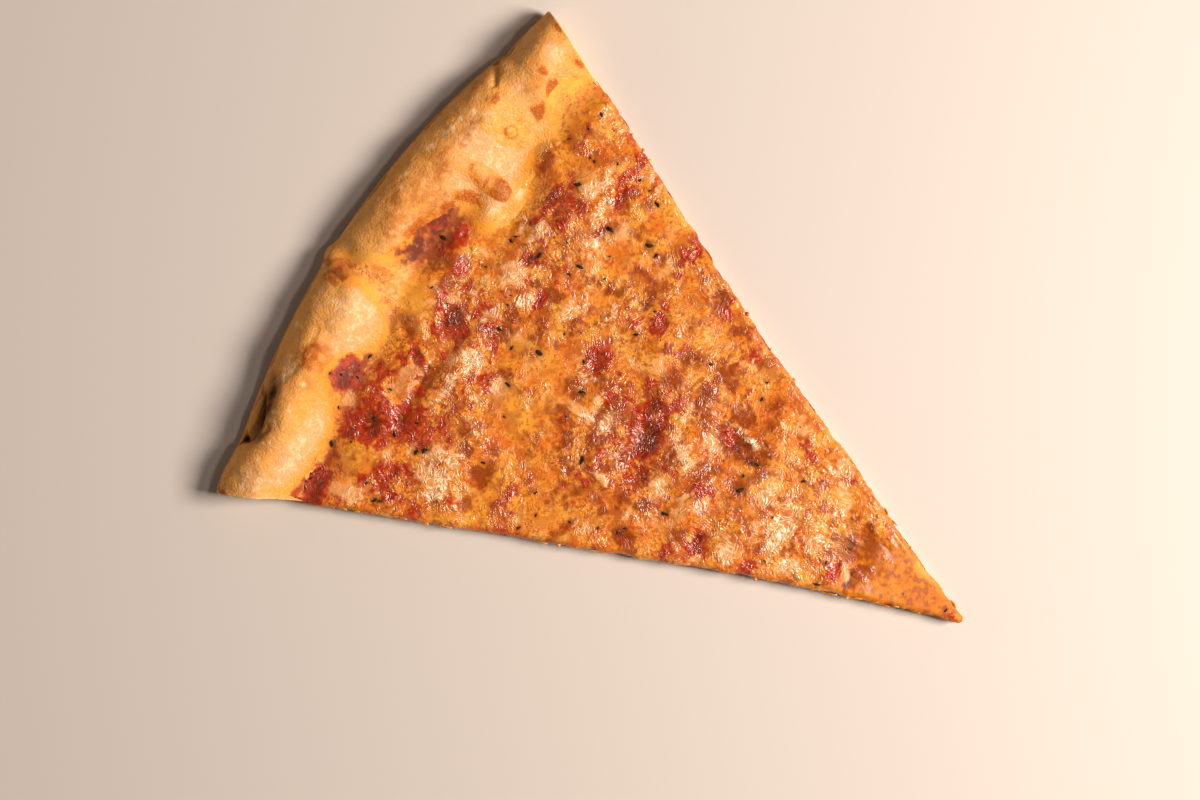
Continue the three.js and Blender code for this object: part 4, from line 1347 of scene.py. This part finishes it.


# smooth wrinkles drawn out in one direction, with thin raised threads on them; the threads also mark where
# glints are painted, and the low parts of the wrinkles where shade is painted
def makeThreads():
    outputs = {"Normal": "Vector", "Threads": "Float", "Hollow Shade": "Float"}
    wire, given, out = startGroup("threads", {"Size": 1.6, "Height": 0.2}, outputs)
    place = wire.place()
    drift = wire.add("TexNoise", {"Vector": place, "Scale": 150.0, "Detail": 1.0})["Color"]
    push = wire.vectors("MULTIPLY", wire.vectors("SUBTRACT", drift, (0.5, 0.5, 0.5)), (0.012, 0.012, 0.012))
    drifted = wire.vectors("ADD", place, push)
    scale = wire.scale(given["Size"])

    def drawnOut(turn, stretch, size, **inputs):
        laid = {"Vector": drifted, "Rotation": (0, 0, -turn), "Scale": (stretch, 1, 1)}
        return wire.noise(wire.add("Mapping", laid)["Vector"], wire.maths("DIVIDE", scale, size), **inputs)

    lines = [
        wire.ranged(wire.off(drawnOut(turn, 0.7, size, Detail=0.0), 0.5), 0.065, 0.0)
        for turn, size in ((0.57, 1.9), (1.9, 1.6))
    ]
    threads = wire.maths("MAXIMUM", *lines)
    body = drawnOut(0.57, 0.95, 1.0, Detail=1.6, Roughness=0.45)
    relief = wire.maths("ADD", wire.times(threads, 0.04), body)
    normal = wire.bump(relief, given["Height"], 0.003)
    wire.fill(out, {"Normal": normal, "Threads": threads, "Hollow Shade": wire.ranged(body, 0.5, 0.3)})
    return wire.tree


mottle = makeMottle()
skin = makeSkin()
threads = makeThreads()


def mottled(wire, size, detail, contrast, seed=0, **inputs):
    inputs = {"Size": size, "Detail": detail, "Contrast": contrast, "Seed": seed, **inputs}
    return wire.group(mottle, inputs)["Value"]


def startMaterial(piece, name):
    material = bpy.data.materials.new(name)
    material.use_nodes = True
    piece.data.materials.append(material)
    return Wiring(material.node_tree)


def tintsOf(values):
    return {name: colour(*value) for name, value in values["colours"].items()}


def dressCrust():
    wire = startMaterial(crust, "baked crust")
    tint = tintsOf(dough)
    mask = wire.marks(
        "golden", "pale", "tanned", "stain", "spill", "toasted", "brown", "crevice", "flour", "cut",
        "under")
    kinds = ((11.0, 3.0, 1.2), (2.6, 4.0, 1.4), (0.9, 3.0, 1.9))
    broad, middle, fine = [mottled(wire, *kind, seed) for seed, kind in enumerate(kinds)]
    streaks = mottled(wire, 1.0, 3.0, 1.5, 5.0, Stretch=(0.3, 1.0, 1.0))
    drawn = wire.ranged(streaks, 0.5, 0.95, 0.0, 0.4)
    drawn = wire.times(drawn, wire.ranged(mask["golden"], 0.0, 1.0, 0.35, 1.0))
    browned = wire.times(mask["golden"], wire.ranged(middle, 0.55, 0.1, 0.0, 0.5))
    below = wire.mixed(wire.ranged(middle, 0.5, 0.9, 0.0, 0.5), tint["underside"], tint["flour"])
    shade = wire.coated(
        wire.mixed(wire.ranged(broad, 0.2, 0.9, 0.0, 0.35), tint["dough"], tint["golden"]),
        (mask["pale"], tint["pale"]),
        (wire.times(mask["pale"], wire.ranged(middle, 0.45, 0.95, 0.0, 0.6)), tint["flour"]),
        (wire.times(mask["golden"], wire.ranged(middle, 0.0, 0.8, 0.7, 1.0)),
         wire.mixed(broad, tint["tan"], tint["golden"])),
        (wire.cutOff(mask["stain"], fine, 0.05, 0.9, 0.3, 0.95), tint["stain"]),
        (wire.cutOff(mask["spill"], fine, 0.3, 0.7, 0.3, 0.9),
         wire.mixed(middle, tint["spillDark"], tint["spill"])),
        (wire.cutOff(mask["toasted"], fine, 0.3, 0.7, 0.2, 0.6), tint["toasted"]),
        (wire.ranged(fine, 0.55, 0.95, 0.0, 0.4), tint["flour"]),
        (wire.ranged(fine, 0.45, 0.1, 0.0, 0.6), tint["tan"]),
        (wire.times(mask["tanned"], wire.ranged(middle, 0.9, 0.1, 0.3, 0.8)), tint["tanned"]),
        (wire.maths("MAXIMUM", browned, drawn), tint["ochre"]),
        (wire.cutOff(mask["brown"], fine, 0.05, 0.85, 0.7, 0.9),
         wire.mixed(fine, tint["brown"], tint["lightBrown"])),
        # painted shade in the creases and along the fold
        (mask["crevice"], tint["crevice"]),
        (wire.times(mask["flour"], 0.6), tint["flour"]),
        (mask["under"], wire.mixed(wire.ranged(broad, 0.56, 0.8), below, tint["scorch"])),
        (mask["cut"], wire.mixed(wire.ranged(middle, 0.2, 0.8, 0.0, 0.4), tint["crumb"], tint["golden"])),
    )
    oily = wire.maths("MAXIMUM", mask["stain"], mask["spill"])
    wire.setShader({
        "Base Color": shade,
        "Normal": wire.group(skin, {"Coarse Size": 0.8, "Fine Size": 0.45, "Height": 0.13})["Normal"],
        "Roughness": wire.ranged(oily, 0.0, 1.0, 0.75, 0.42),
        "Specular IOR Level": 0.22,
        "Subsurface Weight": 0.06,
        "Subsurface Scale": 0.002,
    })


def dressSauce():
    wire = startMaterial(sauce, "tomato sauce")
    tint = tintsOf(sauceValues)
    surface = wire.group(threads, {"Size": 1.5, "Height": 0.2})
    shade = wire.coated(
        wire.mixed(mottled(wire, 5.0, 3.0, 1.5), tint["dark"], tint["red"]),
        (wire.ranged(mottled(wire, 1.1, 2.0, 1.6), 0.6, 0.95, 0.0, 0.6), tint["orange"]),
        (wire.times(surface["Threads"], 0.3), tint["thread"]),
    )
    wire.setShader({
        "Base Color": shade, "Normal": surface["Normal"], "Roughness": 0.25, "Specular IOR Level": 0.4,
    })


def dressCheese():
    wire = startMaterial(cheese, "melted cheese")
    tint = tintsOf(cheeseValues)
    mask = wire.marks(
        "red", "toast", "cream", "yellow", "olive", "wrinkle", "crest", "herbStain", "border", "dull",
        "rich", "dark", "tip")
    kinds = ((9.0, 2.0, 1.1), (5.0, 4.0, 1.3), (6.5, 4.0, 1.3), (2.2, 3.0, 1.3), (1.3, 2.0, 1.4))
    broad, blotch, butter, fine, speck = [mottled(wire, *kind, seed) for seed, kind in enumerate(kinds)]
    rise = wire.ranged(mask["wrinkle"], 0.0, 1.0, 0.012, 0.26, kind="LINEAR")
    surface = wire.group(threads, {"Size": 1.05, "Height": rise})
    stain = wire.times(wire.ranged(blotch, 0.5, 0.8), wire.ranged(mask["wrinkle"], 0.0, 0.6, 0.4, 0.8))
    stain = wire.maths("MAXIMUM", stain, wire.ranged(speck, 0.62, 0.9, 0.0, 0.55))
    vein = wire.ranged(wire.off(blotch, 0.42), 0.11, 0.0)
    # cream threads on the wrinkle crests, thickest on the cream patches: partly pale strands of cheese,
    # partly painted glints
    glintThreads = wire.times(surface["Threads"], wire.ranged(mask["cream"], 0.0, 0.8, 0.06, 0.9))
    toasted = wire.cutOff(mask["toast"], fine, 0.05, 0.8, 0.5, 0.9)
    pale = wire.cutOff(mask["cream"], fine, 0.1, 0.7, 0.6, 0.85)
    shade = wire.coated(
        wire.mixed(broad, tint["deep"], tint["orange"]),
        (wire.ranged(butter, 0.5, 0.9, 0.0, 0.6), tint["butter"]),
        (wire.times(mask["border"], 0.9), tint["border"]),
        (wire.times(mask["tip"], 0.9),
         wire.mixed(wire.ranged(fine, 0.45, 0.9), tint["tip"], tint["tipDark"])),
        (mask["yellow"], tint["yellow"]),
        (wire.times(mask["olive"], 0.8), tint["olive"]),
        (wire.times(stain, wire.ranged(mask["border"], 0.2, 1.0, 1.0, 0.2)), tint["stain"]),
        (wire.times(vein, wire.ranged(mask["rich"], 0.0, 1.0, 0.15, 0.8)), tint["vein"]),
        # painted shade: deeper colour in the low parts of the relief
        (wire.ranged(mask["crest"], 0.5, 0.15, 0.0, 0.6), tint["deep"]),
        (wire.times(toasted, wire.ranged(mask["tip"], 0.3, 1.0, 1.0, 0.3)), tint["toast"]),
        (wire.cutOff(mask["red"], fine, 0.18, 0.6, 0.38, 0.94),
         wire.mixed(fine, tint["red"], tint["brightRed"])),
        (wire.cutOff(mask["dark"], fine, 0.1, 0.9, 0.7, 0.8), tint["dark"]),
        # painted light and shade: the pale cheese shows most on the crests of the relief
        (wire.times(pale, wire.ranged(mask["crest"], 0.2, 0.75, 0.3, 1.0)), tint["pale"]),
        # painted shade in the hollows of the wrinkles
        (wire.times(surface["Hollow Shade"], wire.ranged(mask["wrinkle"], 0.1, 1.0, 0.0, 0.5)), tint["hollow"]),
        # painted glints: cream threads along the wrinkle crests, partly pale strands of cheese
        (wire.times(glintThreads, wire.ranged(mask["wrinkle"], 0.1, 0.8)), tint["cream"]),
        (wire.times(mask["herbStain"], 0.6), tint["herbStain"]),
    )
    gloss = wire.ranged(mask["wrinkle"], 0.0, 0.8, 0.26, 0.15)
    wire.setShader({
        "Base Color": shade,
        "Normal": surface["Normal"],
        "Roughness": wire.maths("ADD", gloss, wire.times(mask["dull"], 0.6)),
        "Specular IOR Level": 0.5,
        "Subsurface Weight": 0.15,
        "Subsurface Scale": 0.002,
        "Subsurface Radius": (1.0, 0.4, 0.15),
    })


def dressHerbs():
    wire = startMaterial(herbs, "dried herbs")
    tint = tintsOf(herbValues)
    shade = wire.mixed(mottled(wire, 1.4, 2.0, 1.4), tint["fresh"], tint["worn"])
    wire.setShader({"Base Color": shade, "Roughness": 0.85, "Specular IOR Level": 0.2})


def dressStrings():
    wire = startMaterial(strings, "cheese strings")
    tint = tintsOf(cheeseValues)
    wire.setShader({
        "Base Color": wire.mixed(mottled(wire, 4.0, 2.0, 1.8), tint["deep"], tint["yellow"]),
        "Normal": wire.group(skin, {"Coarse Size": 1.0, "Fine Size": 0.4, "Height": 0.08})["Normal"],
        "Roughness": 0.35,
        "Coat Weight": 0.3,
        "Coat Roughness": 0.15,
    })


dressCrust()
dressSauce()
dressCheese()
dressHerbs()
dressStrings()
print("materials made")

studio = {
    "floorColour": (205, 192, 182),
    "floorSize": 3.0,
    "lightDistance": 1.15,
    "lightColour": (255, 247, 239),
    "lights": {                      # x and y towards the light, elevation, size and power
        "key": (0.543, -0.840, 43, 0.4, 23),
        "lamp": (0.543, -0.840, 66, 0.12, 2.1),    # near the key light, for crisp gloss
        "fill": (-0.35, 0.94, 17, 0.7, 1.9),       # low behind the rim
    },
    "airColour": (255, 240, 222),
    "airStrength": 0.045,
    "camera": (-0.0020, 0.0187, 0.977),
    "cameraTurn": -57.1,
    "lens": 90,
}


def makeFloor():
    bm = bmesh.new()
    bmesh.ops.create_grid(bm, x_segments=1, y_segments=1, size=studio["floorSize"] / 2)
    floor = finishPiece(bm, "floor")
    wire = startMaterial(floor, "pale floor")
    wire.setShader({"Base Color": colour(*studio["floorColour"]), "Roughness": 0.7})


def makeLights():
    for name, (x, y, elevation, size, power) in studio["lights"].items():
        light = bpy.data.lights.new(name, "AREA")
        light.size = size
        light.energy = power
        light.color = colour(*studio["lightColour"])[:3]
        lamp = bpy.data.objects.new(name, light)
        rise = elevation * degree
        ray = Vector((x * math.cos(rise), y * math.cos(rise), math.sin(rise)))
        lamp.location = ray * studio["lightDistance"]
        lamp.rotation_euler = ray.to_track_quat("Z", "Y").to_euler()
        bpy.context.scene.collection.objects.link(lamp)
    world = bpy.data.worlds.new("studio air")
    world.use_nodes = True
    air = world.node_tree.nodes["Background"]
    air.inputs["Color"].default_value = colour(*studio["airColour"])
    air.inputs["Strength"].default_value = studio["airStrength"]
    bpy.context.scene.world = world
    bpy.context.scene.view_settings.view_transform = "Standard"


def makeCamera():
    camera = bpy.data.objects.new("camera", bpy.data.cameras.new("camera"))
    camera.data.lens = studio["lens"]
    camera.location = studio["camera"]
    camera.rotation_euler = (0, 0, studio["cameraTurn"] * degree)
    bpy.context.scene.collection.objects.link(camera)
    bpy.context.scene.camera = camera


makeFloor()
makeLights()
makeCamera()
print("studio ready")
